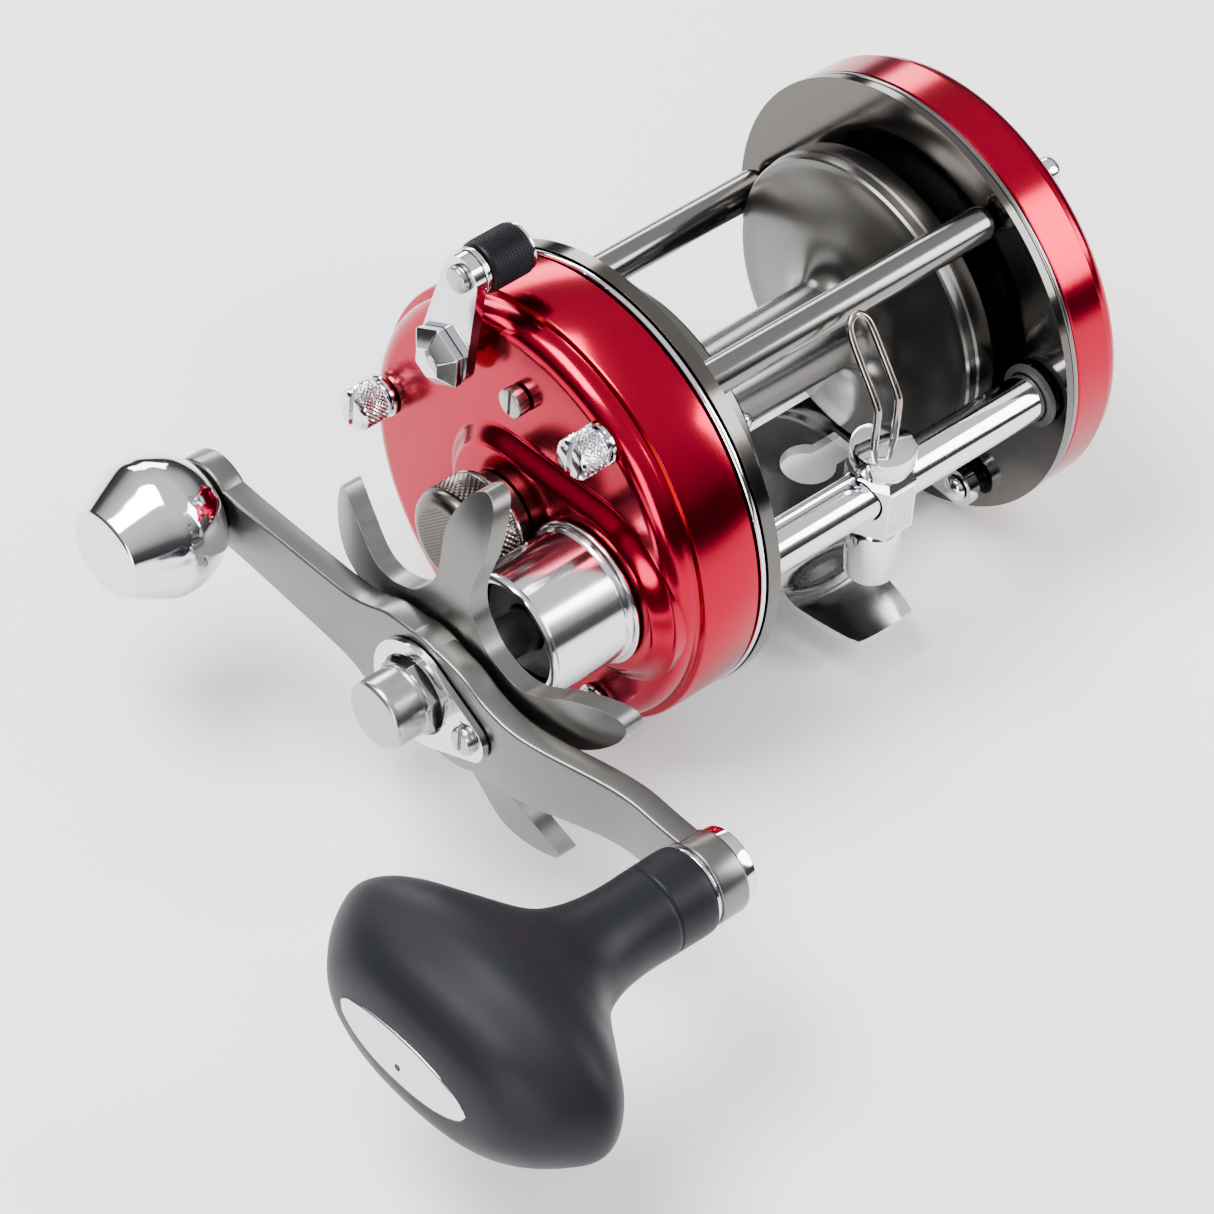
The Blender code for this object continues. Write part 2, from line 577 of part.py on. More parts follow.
def make_spool(root, looks):
    """The spool with its shaft, line pin and the cog and click wheel that turn with it."""
    spin = joint_empty("spool_axis", *spool_at(0), root)
    edge = HALF - SPOOL_END_CLEARANCE
    half = [
        (edge, SPOOL_RADIUS - 0.5), (edge - 1.2, SPOOL_RADIUS), (edge - 1.9, SPOOL_RADIUS - 0.5),
        (edge - 3.0, SPOOL_RADIUS - 1.9), (edge - 4.6, 15.0), (edge - 6.6, 10.5),
        (edge - 8.0, ARBOR_RADIUS),
    ]
    recess = [(edge - 5.6, SPOOL_SHAFT_RADIUS + GAP), (edge - 5.6, 8.0), (edge - 2.2, 13.0),
              (edge - 1.0, SPOOL_RADIUS - 2.4), (edge, SPOOL_RADIUS - 1.8)]
    profile = half + [(-x, radius) for x, radius in reversed(half)]
    profile += [(-x, radius) for x, radius in reversed(recess)] + recess
    spool = turned("spool", profile, looks["spool"], spool_at(0), spin, FINE)
    pin_at = spool_at(-8.7)
    bore(spool, "line_pin_hole", 0.9 + RUNNING, (pin_at[0], pin_at[1] - 2.0 - ARBOR_RADIUS / 2, pin_at[2]),
         spin, 3.0, TINY, (0, 0, 90))
    reach = ARBOR_RADIUS + GAP
    profile = [(-reach - 1.5, 0), (-reach - 1.4, 0.9), (-reach - 0.9, 1.4), (-reach, 1.5),
               (-reach, 0.9), (-reach + 2.6, 0.9), (-reach + 2.6, 0)]
    turned("line_pin", profile, looks["chrome"], pin_at, spin, TINY, (0, 0, 90))
    left_end, right_end = LEFT_FACE - 0.3, BOSS_FACE + CAST_CAP_LENGTH - 2.4
    profile = [(-right_end, 0), (-right_end, SPOOL_SHAFT_RADIUS), (left_end, SPOOL_SHAFT_RADIUS),
               (left_end, 0)]
    turned("spool_shaft", profile, looks["steel"], spool_at(0), spin, COARSE)
    shaft_hole = circle(SPOOL_SHAFT_RADIUS + GAP, TINY)
    prism("spool_cog", [gear_loop(WIND_MODULE, SPOOL_COG_TEETH, TUBE_ANGLE), shaft_hole],
          COG_IN, COG_IN + GEAR_WIDTH, looks["brass"], spool_at(0), spin)
    profile = [(HALF - 1.9, SPOOL_SHAFT_RADIUS + GAP), (HALF - 1.9, 3.4), (COG_IN - GAP, 3.4),
               (COG_IN - GAP, SPOOL_SHAFT_RADIUS + GAP)]
    turned("click_wheel_hub", profile, looks["brass"], spool_at(0), spin, COARSE)


def make_level_wind(root, looks):
    """The slotted tube, the worm inside it, its gears and the carriage with the line guide."""
    y, z = from_spool(TUBE_CIRCLE, TUBE_ANGLE)
    slot_half = 1.4
    opening = math.degrees(math.asin(slot_half / TUBE_RADIUS))
    inner_opening = math.degrees(math.asin(slot_half / TUBE_BORE))
    loop = arc(TUBE_RADIUS, 0, 0, 180 + opening, 540 - opening, MEDIUM)
    loop += arc(TUBE_BORE, 0, 0, 540 - inner_opening, 180 + inner_opening, COARSE)
    prism("level_wind_tube", [loop], -(HALF - GAP), HALF - GAP, looks["chrome"],
          axis_at(0, y, z), root)
    clip = arc(TUBE_RADIUS + GAP, 0, 0, 200, 520, COARSE)
    clip += arc(TUBE_RADIUS + 1.2, 0, 0, 520, 200, COARSE)
    prism("tube_clip", [clip], HALF - 1.6, HALF - 0.8, looks["black"], axis_at(0, y, z), root)
    worm = joint_empty("worm_axis", *axis_at(0, y, z), root)
    gear_in, gear_out = COG_IN, COG_IN + GEAR_WIDTH
    profile = [(-(HALF - 1.2), 0), (-(HALF - 1.2), 1.3), (-(HALF - 3.0), 1.3),
               (-(HALF - 3.0), WORM_RADIUS), (HALF - 3.0, WORM_RADIUS), (HALF - 3.0, 1.5),
               (gear_out + 0.8, 1.5), (gear_out + 0.8, 0)]
    turned("worm_shaft", profile, looks["steel"], axis_at(0, y, z), worm, COARSE)
    back = TUBE_ANGLE + 180
    prism("worm_gear", [gear_loop(WIND_MODULE, WORM_GEAR_TEETH, back), circle(1.8, TINY)],
          gear_in, gear_out, looks["brass"], axis_at(0, y, z), worm)
    idler_y, idler_z = from_spool(IDLER_CIRCLE, TUBE_ANGLE)
    idler = joint_empty("idler_axis", *axis_at(0, idler_y, idler_z), root)
    gap_at = TUBE_ANGLE + 180 / IDLER_TEETH
    stud_hole = circle(IDLER_STUD_RADIUS + RUNNING, TINY)
    prism("idler_gear", [gear_loop(WIND_MODULE, IDLER_TEETH, gap_at), stud_hole],
          gear_in, gear_out, looks["plastic"], axis_at(0, idler_y, idler_z), idler)
    make_carriage(y, z, root, looks)


def make_carriage(y, z, root, looks):
    """The carriage on the tube: an upright barrel, the pawl and its cap, and the wire guide."""
    slide = joint_empty("carriage_slide", *axis_at(CARRIAGE_X, y, z), root)
    at = axis_at(CARRIAGE_X, y, z)
    upright = (0, -90, 0)
    # A profile turned about the upright axis counts its heights from the tube's own axis.
    profile = [(-6.4, 0), (-6.4, 3.6), (-5.4, 4.6), (4.2, 4.6), (4.6, 4.2), (5.0, 4.2),
               (5.4, 4.6), (7.6, 4.6), (8.1, 4.1), (8.1, 0)]
    body = turned("carriage", profile, looks["chrome"], at, slide, COARSE, upright)
    bore(body, "carriage_bore", TUBE_RADIUS + GAP, at, slide, 8.0, MEDIUM)
    for index, offset in enumerate((-1.9, 1.9)):
        place = (at[0] + offset, at[1], at[2] + 7.2)
        bore(body, f"wire_hole_{index}", GUIDE_WIRE_RADIUS + GAP, place, slide, 1.8, TINY, upright)
    bore(body, "pawl_hole", 1.0 + RUNNING, (at[0], at[1], at[2] - 7), slide, 5, TINY, upright)
    profile = [(-6.7, 0), (-6.7, 1.0), (-WORM_RADIUS - 0.4, 1.0),
               (-WORM_RADIUS - 0.4, 0)]
    turned("level_wind_pawl", profile, looks["steel"], at, slide, TINY, upright)
    profile = [(-6.7, 1.4), (-6.7, 3.4), (-7.2, 3.8), (-15.0, 3.8), (-15.8, 3.3), (-16.2, 0),
               (-7.1, 0), (-7.1, 1.4)]
    turned("pawl_cap", profile, looks["chrome"], at, slide, COARSE, upright)
    wire = guide_wire(at)
    wire.parent = slide
    wire.location = (0, 0, 0)
    wire.data.materials.append(looks["wire"])


def guide_wire(at):
    """A hairpin of wire whose legs rise from the carriage and lean back towards the spool."""
    route = [(-1.9, 0.0, 6.0), (-1.9, 0.0, 15.0), (-1.8, 0.6, 16.4), (-0.9, 7.2, 25.2),
             (-0.5, 7.8, 26.0)]
    route += [(-x, y, z) for x, y, z in reversed(route)]
    data = bpy.data.curves.new("line_guide", "CURVE")
    data.dimensions = "3D"
    data.bevel_depth = GUIDE_WIRE_RADIUS * MM
    data.bevel_resolution = 1
    data.use_fill_caps = True
    spline = data.splines.new("POLY")
    spline.points.add(len(route) - 1)
    for point, place in zip(spline.points, route):
        point.co = (*(Vector(place) * MM), 1.0)
    wire = bpy.data.objects.new("line_guide", data)
    bpy.context.collection.objects.link(wire)
    return wire


def make_drive(root, looks):
    """The drive shaft with its gear, drag and ratchet, the handle and both knobs."""
    drive = joint_empty("drive_axis", *axis_at(0, DRIVE_Y), root)
    at = axis_at(0, DRIVE_Y)
    toward_spool = DRIVE_LEAN - 90
    shaft_in = BRIDGE_X + 1.6 + GAP
    nut_in = HANDLE_X + HANDLE_THICKNESS / 2 + 1.4
    profile = [(-shaft_in, 0), (-shaft_in, DRIVE_SHAFT_RADIUS), (-(nut_in + 3), DRIVE_SHAFT_RADIUS),
               (-(nut_in + 3), 0)]
    turned("drive_shaft", profile, looks["steel"], at, drive, COARSE)
    hole = circle(DRIVE_SHAFT_RADIUS + GAP, COARSE)
    gap_at = toward_spool + 180 / MAIN_TEETH
    prism("main_gear", [gear_loop(DRIVE_MODULE, MAIN_TEETH, gap_at), hole],
          -(GEAR_X + GEAR_WIDTH), -GEAR_X, looks["brass"], at, drive)
    prism("ratchet_wheel", [ratchet_loop(10.0, 8), hole], -(GEAR_X - GAP), -(GEAR_X - GAP - 1.0),
          looks["steel"], at, drive)
    washer_in = GEAR_X + GEAR_WIDTH + GAP
    prism("drag_washer", [circle(9.5, MEDIUM), hole], -(washer_in + 0.9), -washer_in,
          looks["black"], at, drive)
    star = joint_empty("star_axis", *axis_at(-STAR_X, DRIVE_Y), drive)
    add("star_drag", star_mesh(), looks["satin"], axis_at(-STAR_X, DRIVE_Y), star)
    make_handle(drive, looks, nut_in)


def ratchet_loop(radius, teeth):
    loop = []
    for tooth in range(teeth):
        start = tooth * 360 / teeth
        loop += arc(radius, 0, 0, start, start + 30, 2) + arc(radius - 1.8, 0, 0, start + 32,
                                                             start + 43, 1)
    return loop


def star_mesh():
    """A five-armed star, thin and dished, with arms that narrow and then spread to round tips."""
    steps = [(0.42, 0.50), (0.48, 0.26), (0.62, 0.14), (0.80, 0.125), (0.95, 0.065)]
    outline = []
    for arm in range(STAR_ARMS):
        middle = arm * 360 / STAR_ARMS
        pitch = 360 / STAR_ARMS
        side = [(STAR_RADIUS * reach, spread * pitch) for reach, spread in steps]
        outline += [(reach, middle - spread) for reach, spread in side[1:]]
        outline.append((STAR_RADIUS, middle))
        outline += [(reach, middle + spread) for reach, spread in reversed(side[1:])]
        outline.append((side[0][0], middle + pitch / 2))
    shares = (0.0, 0.4, 0.65, 0.85, 1.0)
    body = bmesh.new()
    layers = []
    for lift in (-STAR_THICKNESS / 2, STAR_THICKNESS / 2):
        for share in shares:
            ring = []
            for reach, angle in outline:
                radius = STAR_HUB_BORE + (reach - STAR_HUB_BORE) * share
                y, z = around(radius, angle)
                dish = STAR_DISH * (radius / STAR_RADIUS) ** 4 - STAR_HUB_LEAD
                ring.append(body.verts.new(Vector((dish + lift, y, z)) * MM))
            layers.append(ring)
    low, high = layers[:len(shares)], layers[len(shares):]
    skin(body, low + high[::-1])
    return to_mesh("star_drag", body)




def handle_sections():
    """Rectangles across the handle from the small knob's eye to the power knob's, bent by a step."""
    back, front = SMALL_KNOB_REACH, -POWER_KNOB_REACH
    eye_back, eye_front, hub = 6.2, 6.0, 9.0
    stations = []
    for angle in (8, 30, 60, 90):
        turn = math.radians(angle)
        stations.append((back + eye_back * math.cos(turn), eye_back * math.sin(turn)))
    stations += [(back - 7, 4.6), (24.0, 5.0), (13.0, 6.2), (7.5, 8.2), (0.0, hub),
                 (-7.5, 8.2), (-13.0, 6.2), (-24.0, 5.4), (-34.0, 4.6), (front + 7, 4.4)]
    for angle in (90, 60, 30, 8):
        turn = math.radians(angle)
        stations.append((front - eye_front * math.cos(turn), eye_front * math.sin(turn)))
    sections = []
    for y, half in stations:
        share = min(max((-20.0 - y) / 20.0, 0.0), 1.0)
        x = HANDLE_STEP * share * share * (3 - 2 * share)
        low, high = x - HANDLE_THICKNESS / 2, x + HANDLE_THICKNESS / 2
        sections.append([(low, y, -half), (high, y, -half), (high, y, half), (low, y, half)])
    return sections


def make_handle(drive, looks, nut_in):
    at = axis_at(-HANDLE_X, DRIVE_Y)
    arm = add("handle_arm", lofted_mesh("handle_arm", handle_sections()), looks["satin"], at, drive)
    bore(arm, "arm_shaft_hole", DRIVE_SHAFT_RADIUS + GAP, at, drive, 6, COARSE)
    spindle = 1.6
    small_at = axis_at(-HANDLE_X, SMALL_KNOB_Y)
    power_at = axis_at(-POWER_ARM_X, POWER_KNOB_Y)
    bore(arm, "arm_small_hole", spindle + GAP, small_at, drive, 6, TINY)
    bore(arm, "arm_power_hole", spindle + GAP, power_at, drive, 6, TINY)
    hexagon = circle(5.4, 6)
    hole = circle(DRIVE_SHAFT_RADIUS + GAP, COARSE)
    plate_in = HANDLE_X + HANDLE_THICKNESS / 2 + GAP
    plate = link_outline((0, 0), 8.0, (-LOCK_REACH, 0), 3.4, 10)
    lock_hole = circle(1.0 + GAP, TINY, -LOCK_REACH, 0)
    prism("lock_plate", [plate, circle(6.0, COARSE), lock_hole], -(plate_in + 1.0), -plate_in,
          looks["chrome"], axis_at(0, DRIVE_Y), drive)
    lock_screw_at = axis_at(0, DRIVE_Y - LOCK_REACH)
    head = plate_in + 1.0 + GAP
    profile = [(-(head + 0.8), 0), (-(head + 0.8), 1.7), (-head, 2.1), (-head, 1.0),
               (-(plate_in - 0.1), 1.0), (-(plate_in - 0.1), 0)]
    turned("lock_screw", profile, looks["steel"], lock_screw_at, drive, TINY)
    nut_start = HANDLE_X + HANDLE_THICKNESS / 2 + GAP
    nut = prism("handle_nut", [hexagon, hole], -(nut_start + 2.6), -nut_start, looks["steel"],
                axis_at(0, DRIVE_Y), drive)
    cap_in, bore_radius = nut_start + 2.0, hole[0][1]
    profile = [(-cap_in, bore_radius), (-cap_in, 4.65), (-(cap_in + 5.3), 4.65),
               (-(cap_in + 5.9), 4.1), (-(cap_in + 5.9), 0), (-(cap_in + 4.2), 0),
               (-(cap_in + 4.2), bore_radius)]
    cap = turned("handle_nut_cap", profile, None, axis_at(0, DRIVE_Y), drive, COARSE)
    combine(nut, cap, "UNION")
    make_small_knob(drive, looks, small_at, spindle)
    make_power_knob(drive, looks, power_at, spindle)


def make_small_knob(drive, looks, at, spindle):
    """The chrome knob, which turns on a spindle riveted through the arm."""
    start, end = HANDLE_THICKNESS / 2 + GAP + 0.6, HANDLE_THICKNESS / 2 + SMALL_KNOB_LENGTH
    back = HANDLE_THICKNESS / 2 + GAP
    profile = [(back + 1.0, 0), (back + 0.8, 2.8), (back, 3.4), (back, spindle),
               (-(end - 4), spindle), (-(end - 4), 0)]
    turned("small_knob_spindle", profile, looks["chrome"], at, drive, COARSE)
    hole = spindle + RUNNING
    profile = [
        (-start, hole), (-start, 7.4), (-(start + 2.0), 8.8), (-(start + 5.0), 9.9),
        (-(start + 7.0), SMALL_KNOB_RADIUS), (-(start + 9.0), 9.7), (-(start + 13.5), 7.4),
        (-(end - 0.7), 6.6), (-end, 6.0), (-end, 0), (-(end - 3), 0), (-(end - 3), hole),
    ]
    knob = joint_empty("small_knob_axis", *at, drive)
    turned("small_knob", profile, looks["chrome"], at, knob, MEDIUM)


def make_power_knob(drive, looks, at, spindle):
    """The soft T-shaped knob with its inlay, on a spindle with a washer and a rivet head."""
    face = HANDLE_THICKNESS / 2
    start = face + 1.4
    end = start + POWER_KNOB_LENGTH
    profile = [(face + GAP + 2.2, 0), (face + GAP + 1.9, 5.2), (face + GAP, 5.6),
               (face + GAP, spindle), (-(face + GAP), spindle), (-(face + GAP), 5.6),
               (-(start - GAP), 5.6), (-(start - GAP), spindle), (-(end - 12), spindle),
               (-(end - 12), 0)]
    turned("power_knob_spindle", profile, looks["chrome"], at, drive, COARSE)
    knob = joint_empty("power_knob_axis", *at, drive)
    half, thick = POWER_KNOB_SPAN / 2, POWER_KNOB_DEPTH / 2
    neck = POWER_KNOB_NECK
    levels = [
        (0.0, neck - 0.6, neck - 0.6), (0.5, neck, neck), (12.0, neck, neck),
        (17.5, neck + 1.0, neck + 0.5), (22.0, 10.0, 8.0), (27.0, 17.0, 10.6),
        (31.0, half - 2.4, thick - 0.9), (35.0, half, thick), (39.0, half - 1.4, thick - 0.7),
        (43.0, half - 5.4, thick - 2.4), (46.0, 14.0, 7.8), (POWER_KNOB_LENGTH, 7.0, 4.2),
    ]
    sides = 24
    sections = []
    for depth, long_half, wide_half in levels:
        turns = [2 * math.pi * index / sides for index in range(sides)]
        sections.append([(-(start + depth), long_half * math.cos(turn), wide_half * math.sin(turn))
                         for turn in turns])
    handle = add("power_knob", lofted_mesh("power_knob", sections), looks["rubber"], at, knob)
    bore_half = (end - 11.0 - start + 1.0) / 2
    bore(handle, "power_knob_bore", spindle + RUNNING,
         (at[0] - start + 1.0 - bore_half, at[1], at[2]), knob, bore_half, TINY)


def make_clutch(root, looks):
    """The clutch lever with its pivot nut and roller, the yoke that it slides and the pinion."""
    lever = joint_empty("lever_axis", *axis_at(-LEVER_X, *LEVER_PIVOT), root)
    at = axis_at(0)
    strap = link_outline(LEVER_PIVOT, 4.6, LEVER_TIP, 3.3, 8)
    holes = [circle(2.0 + GAP, TINY, *LEVER_PIVOT), circle(1.2 + GAP, TINY, *LEVER_TIP)]
    prism("clutch_lever", [strap, *holes], -LEVER_OUT, -LEVER_X, looks["chrome"], at, lever)
    pivot_at = axis_at(0, *LEVER_PIVOT)
    nut = LEVER_OUT + GAP
    inside = RIGHT_FACE - COVER_WALL - 2.6
    profile = [(-(nut + 2.8), 0), (-(nut + 2.8), 2.6), (-(nut + 1.2), 4.3), (-nut, 4.3),
               (-nut, 2.0), (-inside, 2.0), (-inside, 0)]
    turned("lever_nut", profile, looks["chrome"], pivot_at, lever, 6)
    grip = joint_empty("grip_axis", *axis_at(-LEVER_X, *LEVER_TIP), lever)
    tip_at = axis_at(0, *LEVER_TIP)
    grip_in = LEVER_X - GAP
    profile = [(-(LEVER_OUT + GAP + 0.7), 0), (-(LEVER_OUT + GAP + 0.5), 1.7),
               (-(LEVER_OUT + GAP), 2.0), (-(LEVER_OUT + GAP), 1.2),
               (-(grip_in - GRIP_LENGTH + 0.6), 1.2), (-(grip_in - GRIP_LENGTH + 0.6), 0)]
    turned("grip_rivet", profile, looks["steel"], tip_at, lever, COARSE)
    bore_radius = 1.2 + RUNNING
    profile = [
        (-grip_in, bore_radius), (-grip_in, GRIP_RADIUS - 0.5), (-(grip_in - 0.9), GRIP_RADIUS),
        (-(grip_in - GRIP_LENGTH + 0.5), GRIP_RADIUS), (-(grip_in - GRIP_LENGTH), GRIP_RADIUS - 0.5),
        (-(grip_in - GRIP_LENGTH), 0), (-(grip_in - GRIP_LENGTH + 0.4), 0),
        (-(grip_in - GRIP_LENGTH + 0.4), bore_radius),
    ]
    turned("lever_grip", profile, looks["knurl"], tip_at, grip, COARSE)
    make_yoke(root, looks)


def make_yoke(root, looks):
    """The fork that slides the pinion along the spool shaft when the clutch is pressed."""
    slide = joint_empty("yoke_slide", *spool_at(0), root)
    fork_x = GEAR_X + GEAR_WIDTH + 1.2
    fork = arc(8.0, 0, 0, -70, 70, 10) + arc(4.9, 0, 0, 70, -70, 10)
    prism("clutch_yoke", [fork], -(fork_x + 1.0), -fork_x, looks["steel"], spool_at(0), slide)
    pinion = joint_empty("pinion_axis", *spool_at(0), slide)
    hole = circle(SPOOL_SHAFT_RADIUS + RUNNING, TINY)
    prism("pinion", [gear_loop(DRIVE_MODULE, PINION_TEETH, DRIVE_LEAN + 90), hole],
          -(GEAR_X + GEAR_WIDTH + 0.5), -(GEAR_X - 0.2), looks["brass"], spool_at(0), pinion)


def make_cast_control(root, looks):
    """The knurled cap that presses on the end of the spool shaft, over its threaded neck."""
    seat = BOSS_FACE + GAP
    inside = RIGHT_FACE - COVER_WALL - 0.8
    profile = [(-(seat + 5.0), 2.4), (-(seat + 5.0), 5.0), (-inside, 5.0), (-inside, 2.4)]
    turned("cast_control_neck", profile, looks["steel"], spool_at(0), root, COARSE)
    cap = joint_empty("cast_control_axis", *spool_at(-seat), root)
    end, waist = seat + CAST_CAP_LENGTH, seat + TUBE_FLANGE_HEIGHT + GAP
    profile = [
        (-seat, 5.0 + RUNNING), (-seat, 6.3), (-waist, 6.3), (-waist, CAST_CAP_RADIUS),
        (-(end - 1.6), CAST_CAP_RADIUS),
        (-(end - 0.5), CAST_CAP_RADIUS - 0.8), (-end, CAST_CAP_RADIUS - 2.2), (-end, 0),
        (-(end - 2.0), 0), (-(end - 2.0), 5.0 + RUNNING),
    ]
    turned("cast_control_cap", profile, looks["knurl"], spool_at(0), cap, MEDIUM)


def make_anti_reverse(root, looks):
    """The dog that drops into the ratchet wheel and stops the handle turning backwards."""
    dog = joint_empty("dog_axis", *axis_at(0, *DOG_PIVOT), root)
    dog_x = GEAR_X - GAP
    shape = link_outline(DOG_PIVOT, 2.2, (DRIVE_Y - 4.6, -12.4), 0.7, 5)
    hole = circle(DOG_STUD_RADIUS + RUNNING, TINY, *DOG_PIVOT)
    prism("anti_reverse_dog", [shape, hole], -dog_x, -(dog_x - DOG_THICKNESS), looks["steel"],
          axis_at(0), dog)


def main():
    clear_scene()
    looks = {
        "red": finish("red_anodised", (0.55, 0.02, 0.06), 0.22),
        "plate": finish("dark_nickel", (0.16, 0.15, 0.14), 0.15),
        "chrome": finish("chrome", (0.75, 0.76, 0.78), 0.08),
        "pillar": finish("pillar_steel", (0.30, 0.30, 0.30), 0.25),
        "steel": finish("turned_steel", (0.50, 0.50, 0.49), 0.28),
        "satin": finish("satin_grey", (0.34, 0.34, 0.33), 0.35),
        "spool": finish("spool_grey", (0.32, 0.32, 0.31), 0.30),
        "knurl": finish("black_knurl", (0.05, 0.05, 0.05), 0.40),
        "rubber": finish("soft_rubber", (0.02, 0.02, 0.025), 0.55, 0.0),
        "brass": finish("gear_brass", (0.60, 0.42, 0.18), 0.30),
        "plastic": finish("white_plastic", (0.75, 0.74, 0.70), 0.45, 0.0),
        "black": finish("black_clip", (0.03, 0.03, 0.03), 0.40),
        "wire": finish("guide_wire", (0.33, 0.28, 0.25), 0.20),
    }
    root = joint_empty("reel", 0, 0, 0)
    make_frame(root, looks)
    make_foot(root, looks)
    make_right_cover(root, looks)
    make_bridge(root, looks)
    make_left_cover(root, looks)
    make_clicker(root, looks)
    make_spool(root, looks)
    make_level_wind(root, looks)
    make_drive(root, looks)
    make_clutch(root, looks)
    make_cast_control(root, looks)
    make_anti_reverse(root, looks)


main()
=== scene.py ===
"""Finished look of a round level-wind baitcasting reel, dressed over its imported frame.

The frame gives every place: the plates' axis runs along X with the handle at -X, the line
leaves towards -Y and +Z is up. Lengths in this script are in millimetres.
"""

import json
import logging
import math
from dataclasses import dataclass, field
from enum import Enum
from typing import Any, Callable, ClassVar, Iterable, Optional, Sequence

import bmesh
import bpy
from mathutils import Matrix, Vector
from mathutils.bvhtree import BVHTree
from mathutils.geometry import tessellate_polygon


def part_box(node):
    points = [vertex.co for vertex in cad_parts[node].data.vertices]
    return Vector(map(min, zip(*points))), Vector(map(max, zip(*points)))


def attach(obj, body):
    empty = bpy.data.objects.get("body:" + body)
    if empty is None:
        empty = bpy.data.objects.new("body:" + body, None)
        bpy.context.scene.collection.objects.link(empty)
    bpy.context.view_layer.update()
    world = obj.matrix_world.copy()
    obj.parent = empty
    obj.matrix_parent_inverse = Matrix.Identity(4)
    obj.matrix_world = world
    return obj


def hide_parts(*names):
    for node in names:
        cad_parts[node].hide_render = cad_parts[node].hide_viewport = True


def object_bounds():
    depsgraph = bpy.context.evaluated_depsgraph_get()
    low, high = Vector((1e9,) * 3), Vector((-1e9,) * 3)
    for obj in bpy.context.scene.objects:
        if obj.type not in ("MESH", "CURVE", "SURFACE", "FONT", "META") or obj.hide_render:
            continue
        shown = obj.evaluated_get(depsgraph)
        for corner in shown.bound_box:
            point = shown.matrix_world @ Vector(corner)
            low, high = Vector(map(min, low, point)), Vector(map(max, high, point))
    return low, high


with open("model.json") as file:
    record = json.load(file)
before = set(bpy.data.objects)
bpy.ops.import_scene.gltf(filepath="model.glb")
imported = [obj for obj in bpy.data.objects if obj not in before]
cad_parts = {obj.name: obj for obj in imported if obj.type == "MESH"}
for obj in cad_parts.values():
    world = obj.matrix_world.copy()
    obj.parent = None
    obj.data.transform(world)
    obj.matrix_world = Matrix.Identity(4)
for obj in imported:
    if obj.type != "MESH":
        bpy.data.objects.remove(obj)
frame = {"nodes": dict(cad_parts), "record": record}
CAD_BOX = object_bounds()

LOG = logging.getLogger("reel")
MM = 0.001
FULL_TURN = 2 * math.pi
RIGHT, LEFT = -1.0, 1.0
SHARP_EDGE = 32.0
ON_AXIS = 1e-6
SAME_POINT = 1e-5
THUMB_SCREWS = ("thumb_screw_rear", "thumb_screw_top", "thumb_screw_bottom")

Point2 = tuple[float, float]
Point3 = tuple[float, float, float]
Colour = tuple[float, float, float]
Relief = Callable[[float, float, float], float]


# ---------------------------------------------------------------- places in the frame


@dataclass(frozen=True)
class Extent:
    """The box of one CAD node, in millimetres."""

    low: Vector
    high: Vector

    @classmethod
    def of(cls, node: str) -> "Extent":
        """Read a node's box.

        Args:
            node: Name of the CAD node.

        Returns:
            Its box in millimetres.
        """
        low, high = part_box(node)
        return cls(Vector(low) / MM, Vector(high) / MM)

    @property
    def centre(self) -> Vector:
        """The middle of the box."""
        return (self.low + self.high) / 2

    @property
    def yz(self) -> Point2:
        """The middle of the box as (y, z)."""
        return (self.centre.y, self.centre.z)

    @property
    def size(self) -> Vector:
        """The lengths of the box's sides."""
        return self.high - self.low

    def outer(self, side: float) -> float:
        """The X of the face that looks to this side, RIGHT or LEFT."""
        return self.low.x if side == RIGHT else self.high.x

    def inner(self, side: float) -> float:
        """The X of the face that looks away from this side."""
        return self.high.x if side == RIGHT else self.low.x


# ---------------------------------------------------------------- shader expressions


class Value:
    """A number socket that takes part in Python arithmetic by adding Math nodes."""

    def __init__(self, shade: "Shade", socket: bpy.types.NodeSocket) -> None:
        """Wrap a socket of the material that shade is making."""
        self.shade = shade
        self.socket = socket

    def _math(self, operation: str, *terms: Any) -> "Value":
        """Add one Math node.

        Args:
            operation: The node's operation.
            terms: Numbers or values, in order.

        Returns:
            The node's result.
        """
        values = {index: term for index, term in enumerate(terms)}
        node = self.shade.node("ShaderNodeMath", {"operation": operation}, values)
        return Value(self.shade, node.outputs[0])

    def __add__(self, other: Any) -> "Value":
        """Sum of this value and another."""
        return self._math("ADD", self, other)

    __radd__ = __add__

    def __sub__(self, other: Any) -> "Value":
        """This value less another."""
        return self._math("SUBTRACT", self, other)

    def __rsub__(self, other: Any) -> "Value":
        """Another value less this one."""
        return self._math("SUBTRACT", other, self)

    def __mul__(self, other: Any) -> "Value":
        """Product of this value and another."""
        return self._math("MULTIPLY", self, other)

    __rmul__ = __mul__

    def __pow__(self, other: Any) -> "Value":
        """This value raised to a power."""
        return self._math("POWER", self, other)

    def root(self) -> "Value":
        """Square root."""
        return self._math("SQRT", self)

    def sine(self) -> "Value":
        """Sine, in radians."""
        return self._math("SINE", self)

    def between(self, low: float, high: float) -> "Value":
        """A smooth step.

        Args:
            low: Where the result is 0.
            high: Where the result is 1.

        Returns:
            The step's value.
        """
        node = self.shade.node(
            "ShaderNodeMapRange",
            {"interpolation_type": "SMOOTHSTEP"},
            {"Value": self, "From Min": low, "From Max": high},
        )
        return Value(self.shade, node.outputs["Result"])


